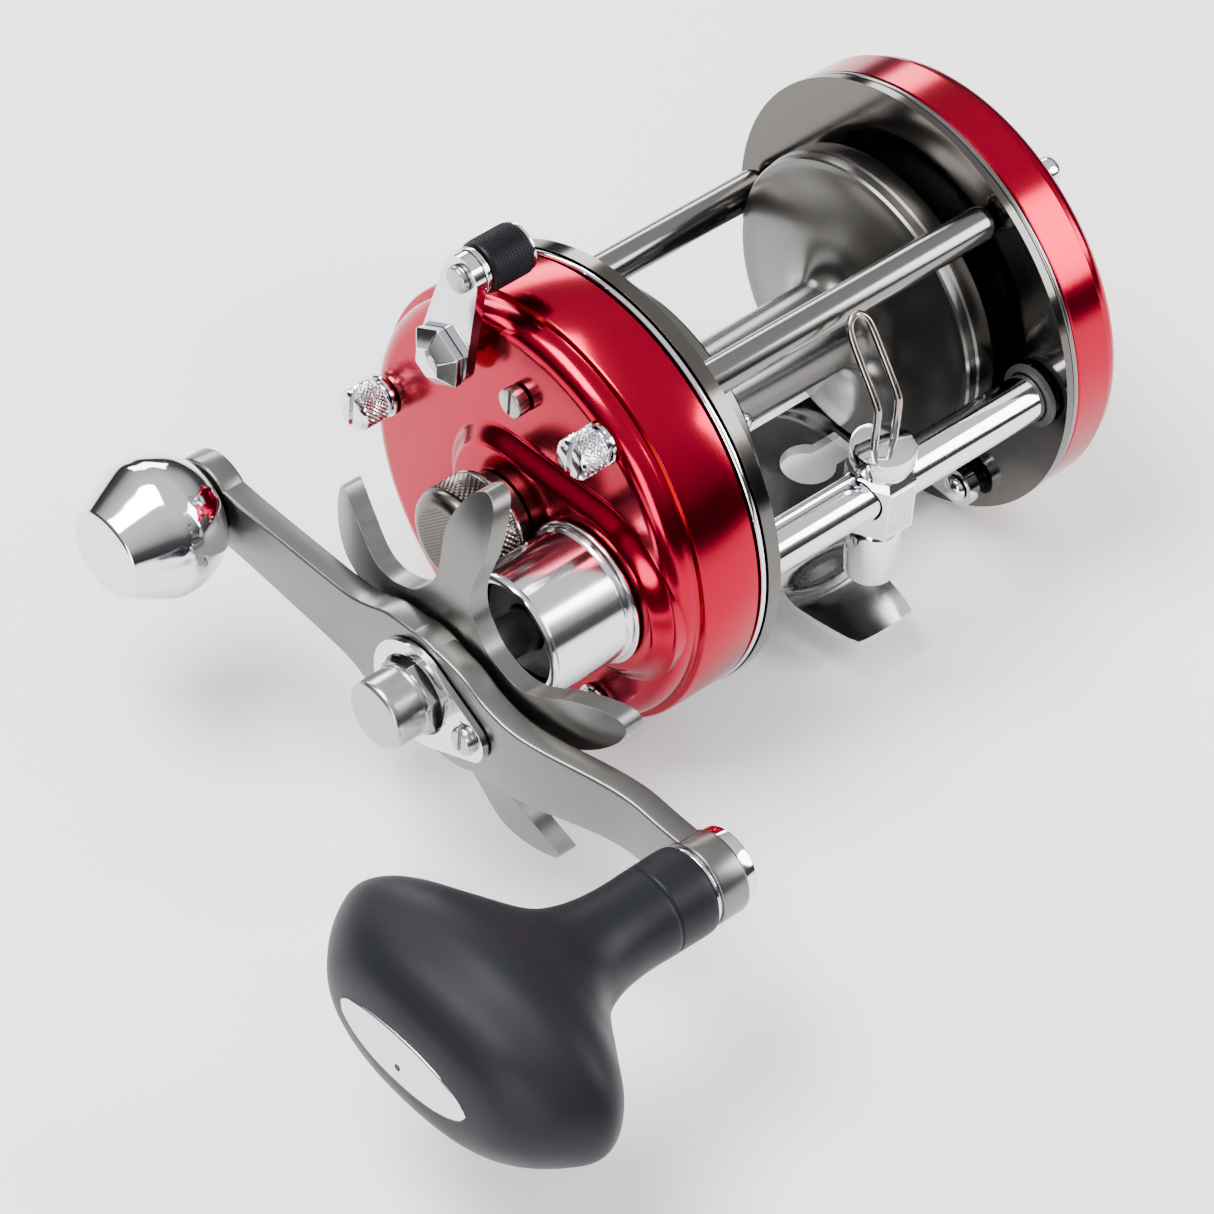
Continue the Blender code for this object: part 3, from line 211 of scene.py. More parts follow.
class Shade:
    """One node material while it is being made."""

    def __init__(self, name: str) -> None:
        """Start a material with a Principled shader.

        Args:
            name: The material's name.
        """
        self.material = bpy.data.materials.new(name)
        self.material.use_nodes = True
        self.tree = self.material.node_tree
        self.surface = self.tree.nodes["Principled BSDF"]
        place = self.node("ShaderNodeTexCoord").outputs["Object"]
        scaled = self.node(
            "ShaderNodeVectorMath", {"operation": "SCALE"}, {0: place, "Scale": 1 / MM}
        )
        self.place = scaled.outputs[0]
        parts = self.node("ShaderNodeSeparateXYZ", inputs={0: self.place})
        self.x, self.y, self.z = (Value(self, output) for output in parts.outputs)

    def node(
        self,
        kind: str,
        settings: Optional[dict[str, Any]] = None,
        inputs: Optional[dict[Any, Any]] = None,
    ) -> bpy.types.Node:
        """Add any node.

        Args:
            kind: The node's type.
            settings: Its own settings, set first.
            inputs: A number, colour, socket or Value for each socket, by name or index.

        Returns:
            The new node.
        """
        made = self.tree.nodes.new(kind)
        for key, value in (settings or {}).items():
            setattr(made, key, value)
        for key, value in (inputs or {}).items():
            self.feed(made.inputs[key], value)
        return made

    def feed(self, socket: bpy.types.NodeSocket, value: Any) -> None:
        """Link a socket to a value, or set it to a constant.

        Args:
            socket: The input socket.
            value: A Value, a socket or a constant.
        """
        if isinstance(value, Value):
            value = value.socket
        if isinstance(value, bpy.types.NodeSocket):
            self.tree.links.new(value, socket)
        else:
            socket.default_value = value

    def noise(self, per_mm: float, detail: float = 2.0, stretch: Point3 = (1, 1, 1)) -> Value:
        """Noise over the piece.

        Args:
            per_mm: Grains in each millimetre.
            detail: Number of finer layers.
            stretch: How much faster the noise changes along each axis.

        Returns:
            The noise, about 0.5.
        """
        stretched = self.node(
            "ShaderNodeVectorMath", {"operation": "MULTIPLY"}, {0: self.place, 1: stretch}
        )
        made = self.node(
            "ShaderNodeTexNoise", inputs={"Vector": stretched.outputs[0], "Scale": per_mm,
                                          "Detail": detail}
        )
        return Value(self, made.outputs["Fac"])

    def rings(self, centre: Point2, per_mm: float) -> Value:
        """Fine lines left by turning about an axis along X.

        Args:
            centre: The axis, as (y, z).
            per_mm: Lines in each millimetre.

        Returns:
            The lines' height, about 0.5.
        """
        made = self.node(
            "ShaderNodeTexNoise",
            {"noise_dimensions": "1D"},
            {"W": (self.radius(centre) + self.x) * per_mm, "Scale": 1.0, "Detail": 1.0},
        )
        return Value(self, made.outputs["Fac"])

    def radius(self, centre: Point2) -> Value:
        """Distance from an axis along X, given as (y, z)."""
        return ((self.y - centre[0]) ** 2 + (self.z - centre[1]) ** 2).root()

    def mix(self, factor: Value, first: Colour, second: Colour) -> bpy.types.NodeSocket:
        """Blend two colours.

        Args:
            factor: Share of the second colour.
            first: Colour where the factor is 0.
            second: Colour where the factor is 1.

        Returns:
            The colour socket.
        """
        made = self.node("ShaderNodeMix", {"data_type": "RGBA"}, {0: factor})
        made.inputs[6].default_value = (*first, 1.0)
        made.inputs[7].default_value = (*second, 1.0)
        return made.outputs[2]

    def bump(self, height: Value, depth_mm: float) -> None:
        """Raise the surface by a height.

        Args:
            height: Height from 0 to 1.
            depth_mm: What a height of 1 stands for.
        """
        made = self.node(
            "ShaderNodeBump",
            inputs={"Height": height, "Distance": depth_mm * MM, "Strength": 1.0},
        )
        self.feed(self.surface.inputs["Normal"], made.outputs[0])

    def set(self, **values: Any) -> None:
        """Set the shader's sockets, with an underscore for each space in a name."""
        for key, value in values.items():
            self.feed(self.surface.inputs[key.replace("_", " ")], value)


# ---------------------------------------------------------------- finishes


class Grain(Enum):
    """How a metal surface was worked."""

    POLISHED = "polished"
    TURNED = "turned"
    BRUSHED = "brushed"
    BLASTED = "blasted"


def toned(colour: Colour, share: float) -> Colour:
    """A colour with each part multiplied by a share."""
    return tuple(part * share for part in colour)


@dataclass(frozen=True)
class Finish:
    """A named surface finish, made into a material once."""

    name: str
    made: ClassVar[dict[str, bpy.types.Material]] = {}

    def material(self) -> bpy.types.Material:
        """The finish's material, made when first asked for.

        Returns:
            The material.
        """
        if self.name not in self.made:
            shade = Shade(self.name)
            self.paint(shade)
            self.made[self.name] = shade.material
        return self.made[self.name]

    def paint(self, shade: Shade) -> None:
        """Fill in the material; each kind of finish has its own."""
        raise NotImplementedError


@dataclass(frozen=True)
class Metal(Finish):
    """Bare, plated or anodised metal with its working marks and light handling haze."""

    colour: Colour
    roughness: float
    haze: float = 0.05
    grain: Grain = Grain.POLISHED
    centre: Point2 = (0.0, 0.0)
    depth: float = 0.002
    spread: float = 0.9

    def paint(self, shade: Shade) -> None:
        """Colour shifted a little by noise, roughness by haze, and marks as a bump.

        Args:
            shade: The material being made.
        """
        haze = shade.noise(0.09, 4.0)
        tone = shade.noise(0.4, 3.0)
        fine = self.marks(shade)
        shade.set(
            Base_Color=shade.mix(tone, toned(self.colour, self.spread), self.colour),
            Metallic=1.0,
            Roughness=self.roughness + (haze - 0.5) * self.haze + (fine - 0.5) * self.haze,
        )
        shade.bump(fine, self.depth)

    def marks(self, shade: Shade) -> Value:
        """The height of the working marks.

        Args:
            shade: The material being made.

        Returns:
            A height of about 0.5.
        """
        if self.grain is Grain.TURNED:
            return shade.rings(self.centre, 9.0)
        if self.grain is Grain.BRUSHED:
            return shade.noise(3.0, 2.0, (0.04, 1.0, 1.0))
        if self.grain is Grain.BLASTED:
            return shade.noise(7.0, 3.0)
        return shade.noise(1.2, 2.0)


@dataclass(frozen=True)
class DottedMetal(Finish):
    """Dark steel stamped with close rows of small dots across its face."""

    colour: Colour
    centre: Point2
    pitch: float = 0.62

    def paint(self, shade: Shade) -> None:
        """Dots as pits, darker and rougher than the face around them, out to where the face starts
        to round over.

        Args:
            shade: The material being made.
        """
        turns = FULL_TURN / self.pitch
        rows = ((shade.y * turns).sine() * (shade.z * turns).sine()).between(0.15, 0.7)
        face = 1 - shade.radius(self.centre).between(5.2, 5.6)
        pits = rows * face
        shade.set(
            Base_Color=shade.mix(pits, self.colour, toned(self.colour, 0.18)),
            Metallic=1.0,
            Roughness=0.26 + pits * 0.3 + (shade.noise(0.3, 3.0) - 0.5) * 0.1,
        )
        shade.bump(1 - pits, 0.12)


@dataclass(frozen=True)
class SoftGrip(Finish):
    """Matt rubber paint, a little shinier where fingers rub it."""

    colour: Colour

    def paint(self, shade: Shade) -> None:
        """Fine grain, with rubbed patches.

        Args:
            shade: The material being made.
        """
        rubbed = shade.noise(0.06, 3.0).between(0.35, 0.7)
        grain = shade.noise(5.0, 3.0)
        shade.set(
            Base_Color=shade.mix(rubbed, self.colour, toned(self.colour, 1.35)),
            Roughness=0.5 - rubbed * 0.1 + (grain - 0.5) * 0.08,
            Specular_IOR_Level=0.14,
        )
        shade.bump(grain, 0.012)


@dataclass(frozen=True)
class Moulded(Finish):
    """Moulded plastic or pressed fibre."""

    colour: Colour
    roughness: float = 0.5

    def paint(self, shade: Shade) -> None:
        """An even colour with a faint mottle.

        Args:
            shade: The material being made.
        """
        mottle = shade.noise(0.8, 4.0)
        shade.set(
            Base_Color=shade.mix(mottle, toned(self.colour, 0.85), self.colour),
            Roughness=self.roughness + (mottle - 0.5) * 0.12,
        )
        shade.bump(shade.noise(4.0), 0.006)


@dataclass(frozen=True)
class StudioFloor(Finish):
    """The pale floor that the reel stands on."""

    def paint(self, shade: Shade) -> None:
        """Near white, with a slight unevenness.

        Args:
            shade: The material being made.
        """
        patch = shade.noise(0.01, 2.0)
        shade.set(
            Base_Color=shade.mix(patch, (0.92, 0.92, 0.92), (0.95, 0.95, 0.95)), Roughness=0.75
        )


# ---------------------------------------------------------------- outlines and profiles


def circle(radius: float, sides: int, y: float = 0.0, z: float = 0.0) -> list[Point2]:
    """Points round a circle, as (y, z)."""
    turns = [FULL_TURN * index / sides for index in range(sides)]
    return [(y - radius * math.sin(turn), z + radius * math.cos(turn)) for turn in turns]


def arc(radius: float, y: float, z: float, start: float, end: float, steps: int) -> list[Point2]:
    """Points on an arc.

    Args:
        radius: The arc's radius.
        y: Centre's Y.
        z: Centre's Z.
        start: First angle in degrees, from the top towards -Y.
        end: Last angle.
        steps: Number of steps between them.

    Returns:
        The points, as (y, z).
    """
    turns = [math.radians(start + (end - start) * index / steps) for index in range(steps + 1)]
    return [(y - radius * math.sin(turn), z + radius * math.cos(turn)) for turn in turns]


def strap(first: Point2, r1: float, second: Point2, r2: float, steps: int = 20) -> list[Point2]:
    """The outline of a strap that runs round two circles.

    Args:
        first: Centre of the first circle.
        r1: Its radius.
        second: Centre of the second circle.
        r2: Its radius.
        steps: Steps on each round end.

    Returns:
        The closed outline, as (y, z).
    """
    along = Vector(second) - Vector(first)
    heading = math.degrees(math.atan2(-along.x, along.y))
    lean = math.degrees(math.asin((r1 - r2) / along.length))
    left, right = heading + 90 - lean, heading + 270 + lean
    return arc(r1, *first, left, right, steps) + arc(r2, *second, right - 360, left, steps)


def rounded(profile: Sequence[Point2], radius: float, steps: int = 3) -> list[Point2]:
    """Round the corners of a closed profile of (reach, radius) points.

    Args:
        profile: The corners.
        radius: Size of the rounding, less where an edge is short.
        steps: Steps on each turning.

    Returns:
        The softened profile. Corners on the axis stay sharp.
    """
    points = [Vector(point) for point in profile]
    soft: list[Point2] = []
    for index, turning in enumerate(points):
        before, after = points[index - 1], points[(index + 1) % len(points)]
        if turning.y < ON_AXIS:
            soft.append((turning.x, 0.0))
            continue
        starts = []
        for other in (before, after):
            edge = other - turning
            starts.append(turning + edge.normalized() * min(radius, 0.45 * edge.length))
        for step in range(steps + 1):
            share = step / steps
            point = starts[0].lerp(turning, share).lerp(turning.lerp(starts[1], share), share)
            soft.append((point.x, point.y))
    return soft


def run(start: Point2, end: Point2, steps: int) -> list[Point2]:
    """Points along a straight line, both ends among them."""
    a, b = Vector(start), Vector(end)
    return [tuple(a.lerp(b, index / steps)) for index in range(steps + 1)]


def corner(
    reach: float, radius: float, along: float, across: float, steps: int, start: float = 0.0
) -> list[Point2]:
    """A rounded corner of a turned profile, up to its outermost reach.

    Args:
        reach: Reach of the corner's centre.
        radius: Radius of the corner's centre.
        along: The corner's size along the axis.
        across: The corner's size across the axis.
        steps: Number of steps.
        start: Where it starts: 0 is straight out, and -1 a half round that starts inside.

    Returns:
        The (reach, radius) points.
    """
    turns = [math.pi / 2 * (start + (1 - start) * index / steps) for index in range(steps + 1)]
    return [(reach + along * math.sin(t), radius + across * math.cos(t)) for t in turns]


def dome(reach: float, height: float, radius: float, steps: int) -> list[Point2]:
    """A dome of a turned profile, from its top on the axis out to its radius."""
    turns = [math.pi / 2 * index / steps for index in range(steps + 1)]
    return [(reach + height * (1 - math.cos(t)), radius * math.sin(t)) for t in turns]


def spline(points: Sequence[Sequence[float]], steps: int, closed: bool = False) -> list[Vector]:
    """A smooth curve through points of any dimension.

    Args:
        points: The points to pass through.
        steps: Steps between each two of them.
        closed: Whether the curve returns to its start.

    Returns:
        Points along the curve.
    """
    knots = [Vector(point) for point in points]
    count = len(knots)
    spans = count if closed else count - 1
    curve = []
    for index in range(spans):
        near = [
            knots[(index + shift) % count] if closed
            else knots[min(max(index + shift, 0), count - 1)]
            for shift in (-1, 0, 1, 2)
        ]
        for step in range(steps):
            t = step / steps
            weights = (
                -0.5 * t**3 + t**2 - 0.5 * t,
                1.5 * t**3 - 2.5 * t**2 + 1,
                -1.5 * t**3 + 2 * t**2 + 0.5 * t,
                0.5 * t**3 - 0.5 * t**2,
            )
            total = near[0] * weights[0]
            for knot, weight in zip(near[1:], weights[1:]):
                total = total + knot * weight
            curve.append(total)
    if not closed:
        curve.append(knots[-1])
    return curve


@dataclass(frozen=True)
class Knurl:
    """A pattern of raised diamonds or ribs pressed into a turned piece."""

    start: float
    end: float
    around: int
    depth: float
    slant: float = 1.0
    fine: int = 4

    def rows(self, radius: float) -> int:
        """Number of steps along the knurled length."""
        pitch = FULL_TURN * radius / self.around
        return max(4, round(self.fine * (self.end - self.start) / pitch))

    def sides(self) -> int:
        """Number of sides that samples the pattern evenly."""
        return self.around * self.fine

    def relief(self, reach: float, radius: float, turn: float) -> float:
        """How far the surface sinks at a point.

        Args:
            reach: Distance along the axis.
            radius: The radius there.
            turn: Angle round the axis.

        Returns:
            A distance, negative in the grooves and slightly positive on the crests.
        """
        inside = min(reach - self.start, self.end - reach)
        if inside <= 0 or radius <= 0:
            return 0.0
        share = self.around * turn / FULL_TURN
        along = self.slant * (reach - self.start) * self.around / (FULL_TURN * radius)
        waves = []
        for position in (share + along, share - along):
            waves.append(1 - abs(2 * (position - math.floor(position)) - 1))
        return -self.depth * (1 - min(waves) * 1.6) * min(1.0, inside / 0.15)


# ---------------------------------------------------------------- mesh making


def mesh_from(name: str, body: bmesh.types.BMesh, sharp: float = SHARP_EDGE) -> bpy.types.Mesh:
    """Turn a bmesh in millimetres into a smooth-shaded mesh.

    Args:
        name: The mesh's name.
        body: What to convert; it is freed.
        sharp: Edges that turn more than this many degrees stay sharp.

    Returns:
        The mesh, in metres.
    """
    bmesh.ops.remove_doubles(body, verts=body.verts, dist=SAME_POINT)
    bmesh.ops.scale(body, vec=(MM, MM, MM), verts=body.verts)
    bmesh.ops.recalc_face_normals(body, faces=body.faces)
    mesh = bpy.data.meshes.new(name)
    body.to_mesh(mesh)
    body.free()
    mesh.shade_smooth()
    mesh.set_sharp_from_angle(angle=math.radians(sharp))
    return mesh


def skin(body: bmesh.types.BMesh, rings: Sequence[list], joined: bool) -> None:
    """Add faces between neighbouring rings of vertices.

    Args:
        body: The bmesh to add to.
        rings: Rings of equal length; a ring of one vertex is a point.
        joined: Whether the last ring joins the first.
    """
    pairs = list(zip(rings, rings[1:])) + ([(rings[-1], rings[0])] if joined else [])
    for ring, other in pairs:
        count = max(len(ring), len(other))
        if count == 1:
            continue
        for index in range(count):
            after = (index + 1) % count
            corners = [ring[index % len(ring)], ring[after % len(ring)]]
            corners += [other[after % len(other)], other[index % len(other)]]
            body.faces.new(list(dict.fromkeys(corners)))


class Axis(Enum):
    """Direction of a turned piece's axis."""

    X = Matrix.Identity(3)
    DOWN_X = Matrix.Diagonal((-1, 1, 1))
    UP = Matrix(((0, 0, 1), (0, 1, 0), (1, 0, 0)))
    BACK = Matrix(((0, 1, 0), (1, 0, 0), (0, 0, 1)))


@dataclass(frozen=True)
class Lathe:
    """Turns closed profiles about an axis through a point."""

    at: Vector
    axis: Axis = Axis.X

    @classmethod
    def about(cls, centre: Point2, x: float = 0.0, axis: Axis = Axis.X) -> "Lathe":
        """A lathe on an axis along X through (y, z), with reach measured from x."""
        return cls(Vector((x, *centre)), axis)

    def turn(
        self, body: bmesh.types.BMesh, profile: Sequence[Point2], sides: int = 96,
        relief: Optional[Relief] = None,
    ) -> None:
        """Add a turned solid to a bmesh.

        Args:
            body: The bmesh to add to.
            profile: Closed (reach, radius) profile; reach runs along the axis.
            sides: Number of sides.
            relief: Distance added to the radius at (reach, radius, turn).
        """
        matrix = self.axis.value
        rings = []
        for reach, radius in profile:
            ring = []
            for index in range(sides if radius > ON_AXIS else 1):
                angle = FULL_TURN * index / sides
                size = radius + (relief(reach, radius, angle) if relief else 0.0)
                local = Vector((reach, -size * math.sin(angle), size * math.cos(angle)))
                ring.append(body.verts.new(self.at + matrix @ local))
            rings.append(ring)
        skin(body, rings, True)

    def mesh(
        self, name: str, profile: Sequence[Point2], sides: int = 96,
        relief: Optional[Relief] = None,
    ) -> bpy.types.Mesh:
        """A mesh of one turned solid; the arguments are those of turn()."""
        body = bmesh.new()
        self.turn(body, profile, sides, relief)
        return mesh_from(name, body)


def extrude(
    body: bmesh.types.BMesh, loops: Sequence[Sequence[Point2]], x_from: float, x_to: float
) -> None:
    """Add a flat plate with holes, standing across X.

    Args:
        body: The bmesh to add to.
        loops: The outline, then the holes, as (y, z) loops.
        x_from: One face.
        x_to: The other face.
    """
    triangles = tessellate_polygon([[Vector((0, y, z)) for y, z in loop] for loop in loops])
    ends = []
    for x in (x_from, x_to):
        rings = [[body.verts.new((x, y, z)) for y, z in loop] for loop in loops]
        flat = [vertex for ring in rings for vertex in ring]
        for triangle in triangles:
            body.faces.new([flat[index] for index in triangle])
        ends.append(rings)
    for first, second in zip(*ends):
        skin(body, [first, second], False)


def loft(body: bmesh.types.BMesh, sections: Sequence[Sequence[Point3]]) -> None:
    """Add a closed solid through sections of equal length.

    Args:
        body: The bmesh to add to.
        sections: Closed sections, in order.
    """
    rings = [[body.verts.new(point) for point in section] for section in sections]
    skin(body, rings, False)
    body.faces.new(rings[0])
    body.faces.new(rings[-1])


def cut(obj: bpy.types.Object, cutter: bpy.types.Mesh) -> None:
    """Cut a solid from a piece and apply the cut.

    Args:
        obj: The piece.
        cutter: The solid to take away; it is removed afterwards.
    """
    tool = bpy.data.objects.new("cutter", cutter)
    bpy.context.collection.objects.link(tool)
    modifier = obj.modifiers.new("cut", "BOOLEAN")
    modifier.operation = "DIFFERENCE"
    modifier.solver = "EXACT"
    modifier.object = tool
    graph = bpy.context.evaluated_depsgraph_get()
    result = bpy.data.meshes.new_from_object(obj.evaluated_get(graph))
    obj.modifiers.remove(modifier)
    obj.data = result
    bpy.data.objects.remove(tool, do_unlink=True)
    obj.data.set_sharp_from_angle(angle=math.radians(SHARP_EDGE))


def block(low: Point3, high: Point3) -> bpy.types.Mesh:
    """A plain block between two corners, used only as a cutter.

    Args:
        low: One corner.
        high: The opposite corner.

    Returns:
        Its mesh, in metres.
    """
    body = bmesh.new()
    (x0, y0, z0), (x1, y1, z1) = low, high
    extrude(body, [[(y0, z0), (y1, z0), (y1, z1), (y0, z1)]], x0, x1)
    return mesh_from("block", body)


@dataclass
class Assembly:
    """A sub-assembly that rides on one body and dresses its own pieces."""

    body: str

    def piece(
        self, name: str, mesh: bpy.types.ID, finish: Finish, slot: str, *nodes: str,
        edge: float = 0.0, body: Optional[str] = None,
    ) -> bpy.types.Object:
        """Put a finished piece in the scene.

        Args:
            name: The piece's name.
            mesh: Its mesh or curve.
            finish: Its surface finish.
            slot: The record's material slot for the piece; it is not used.
            nodes: The CAD nodes that it stands for.
            edge: Width of a small bevel on its sharp edges, in millimetres.
            body: The body that it rides on, if not the assembly's own.

        Returns:
            The new object.
        """
        obj = bpy.data.objects.new(name, mesh)
        bpy.context.collection.objects.link(obj)
        mesh.materials.clear()
        mesh.materials.append(finish.material())
        if edge:
            bevel = obj.modifiers.new("soft_edge", "BEVEL")
            bevel.width = edge * MM
            bevel.segments = 3
            bevel.limit_method = "ANGLE"
            bevel.angle_limit = math.radians(SHARP_EDGE)
            bevel.harden_normals = True
        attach(obj, body or self.body)
        if nodes:
            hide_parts(*nodes)
        LOG.info("%s rides on %s and stands for %s", name, body or self.body, nodes or "itself")
        return obj


# ---------------------------------------------------------------- the reel's finishes

PLATES = Extent.of("frame_plate_right").centre
SPOOL_AXIS = Extent.of("spool_shaft").centre
DRIVE_AXIS = Extent.of("handle_bearing_tube").centre
TUBE_AXIS = Extent.of("worm_shaft").centre
PLATE_YZ = (PLATES.y, PLATES.z)
SPOOL_YZ = (SPOOL_AXIS.y, SPOOL_AXIS.z)
DRIVE_YZ = (DRIVE_AXIS.y, DRIVE_AXIS.z)

RED = Metal("red_anodised", (0.37, 0.003, 0.026), 0.17, 0.05, Grain.TURNED, PLATE_YZ, 0.0012)
DARK_NICKEL = Metal(
    "dark_nickel", (0.105, 0.098, 0.092), 0.12, 0.05, Grain.TURNED, PLATE_YZ, 0.0012
)
CHROME = Metal("chrome", (0.74, 0.75, 0.78), 0.08, 0.04)
TURNED_CHROME = Metal(
    "turned_chrome", (0.72, 0.73, 0.76), 0.13, 0.06, Grain.TURNED, DRIVE_YZ, 0.002
)
PILLAR_STEEL = Metal("pillar_steel", (0.19, 0.183, 0.176), 0.19, 0.06, Grain.TURNED, depth=0.002)
STEEL = Metal("turned_steel", (0.42, 0.41, 0.40), 0.24, 0.06, Grain.BRUSHED)
SATIN = Metal("satin_grey", (0.165, 0.161, 0.155), 0.3, 0.08, Grain.BLASTED, depth=0.006)
SPOOL_GREY = Metal(
    "spool_grey", (0.135, 0.13, 0.124), 0.24, 0.07, Grain.TURNED, SPOOL_YZ, 0.003
)
BLACK_KNURL = Metal("black_knurl", (0.018, 0.018, 0.021), 0.42, 0.1, Grain.BLASTED)
CAP_STEEL = DottedMetal("dotted_cap_steel", (0.12, 0.106, 0.096), SPOOL_YZ)
BRASS = Metal("gear_brass", (0.70, 0.50, 0.22), 0.26, 0.1, Grain.BRUSHED)
WIRE = Metal("guide_wire", (0.30, 0.26, 0.235), 0.16, 0.06)
RUBBER = SoftGrip("soft_rubber", (0.0055, 0.006, 0.0085))
NYLON = Moulded("white_plastic", (0.76, 0.75, 0.70), 0.42)
FIBRE = Moulded("black_fibre", (0.03, 0.03, 0.03), 0.6)
INLAY = Metal("inlay_aluminium", (0.70, 0.71, 0.75), 0.2, 0.06, Grain.BRUSHED)
SHADOW_GAP = Moulded("shadow_gap", (0.006, 0.006, 0.007), 0.7)
FLOOR = StudioFloor("studio_floor")

SLOT_FINISHES: dict[str, Finish] = {
    "red_anodised": RED, "dark_nickel": DARK_NICKEL, "chrome": CHROME,
    "pillar_steel": PILLAR_STEEL, "turned_steel": STEEL, "satin_grey": SATIN,
    "spool_grey": SPOOL_GREY, "black_knurl": BLACK_KNURL, "soft_rubber": RUBBER,
    "gear_brass": BRASS, "white_plastic": NYLON, "black_fibre": FIBRE, "guide_wire": WIRE,
}


# ---------------------------------------------------------------- frame and side covers


@dataclass
class SidePlates(Assembly):
    """The two round frame plates, their bright trim rings and the two plain pillars."""

    body: str = "frame"
    radius: float = 33.0
    edge: float = 0.3
    hole: float = 1.45
    left_thickness: float = 1.2

    def screw_holes(self) -> list[list[Point2]]:
        """Loops of the three thumb screws' holes.

        Returns:
            One loop for each screw, as (y, z).
        """
        spots = [Extent.of(name).centre for name in THUMB_SCREWS]
        return [circle(self.hole, 24, spot.y, spot.z) for spot in spots]

    def build(self) -> None:
        """Build the plates, rings and pillars."""
        rim = circle(self.radius, 160, *PLATE_YZ)
        right, left = Extent.of("frame_plate_right"), Extent.of("frame_plate_left")
        opening = Extent.of("spool").size.z / 2 + 0.4
        body = bmesh.new()
        extrude(body, [rim, circle(opening, 128, *SPOOL_YZ), *self.screw_holes()],
                right.low.x, right.high.x)
        self.piece("plate_right", mesh_from("plate_right", body), DARK_NICKEL, "dark_nickel",
                   "frame_plate_right", edge=self.edge)
        body = bmesh.new()
        holes = [circle(4.2, 48, *SPOOL_YZ), circle(1.9, 32, TUBE_AXIS.y, TUBE_AXIS.z)]
        plate_face = left.low.x + self.left_thickness
        extrude(body, [rim, *holes, *self.screw_holes()], left.low.x, plate_face)
        idler = Extent.of("idler_gear")
        stud = Lathe.about(idler.yz)
        stud.turn(body, rounded([(plate_face - 0.5, 0), (plate_face - 0.5, 2.6),
                                 (idler.low.x - 0.3, 2.6), (idler.low.x - 0.3, 1.5),
                                 (idler.high.x + 0.8, 1.5), (idler.high.x + 0.8, 0)], 0.2), 32)
        self.piece("plate_left", mesh_from("plate_left", body), DARK_NICKEL, "dark_nickel",
                   "frame_plate_left", edge=self.edge)
        for name in ("trim_ring_right", "trim_ring_left"):
            ring = Extent.of(name)
            outer = ring.size.z / 2
            profile = rounded([(ring.low.x, outer - 2.5), (ring.low.x, outer),
                               (ring.high.x, outer), (ring.high.x, outer - 2.5)], 0.3)
            mesh = Lathe.about(PLATE_YZ).mesh(name, profile, 192)
            finish = CHROME if name.endswith("right") else PILLAR_STEEL
            self.piece(f"{name}_bright", mesh, finish, "chrome", name)
        for name in ("pillar_rear", "pillar_top"):
            self.pillar(name)

    def pillar(self, name: str) -> None:
        """A plain round pillar whose end rounds over where it meets the left plate.

        Args:
            name: The pillar's node.
        """
        bar = Extent.of(name)
        start, radius = bar.low.x, bar.size.z / 2
        end = Extent.of("frame_plate_left").low.x - 0.3
        profile = [(start, 0), (start, radius), (end - 1.6, radius), (end - 0.8, radius - 0.25),
                   (end - 0.2, radius - 0.8), (end, radius - 1.3), (end, 1.1),
                   (bar.high.x, 1.1), (bar.high.x, 0)]
        lathe = Lathe.about(bar.yz)
        self.piece(f"{name}_bar", lathe.mesh(name, rounded(profile, 0.25), 64), PILLAR_STEEL,
                   "pillar_steel", name)


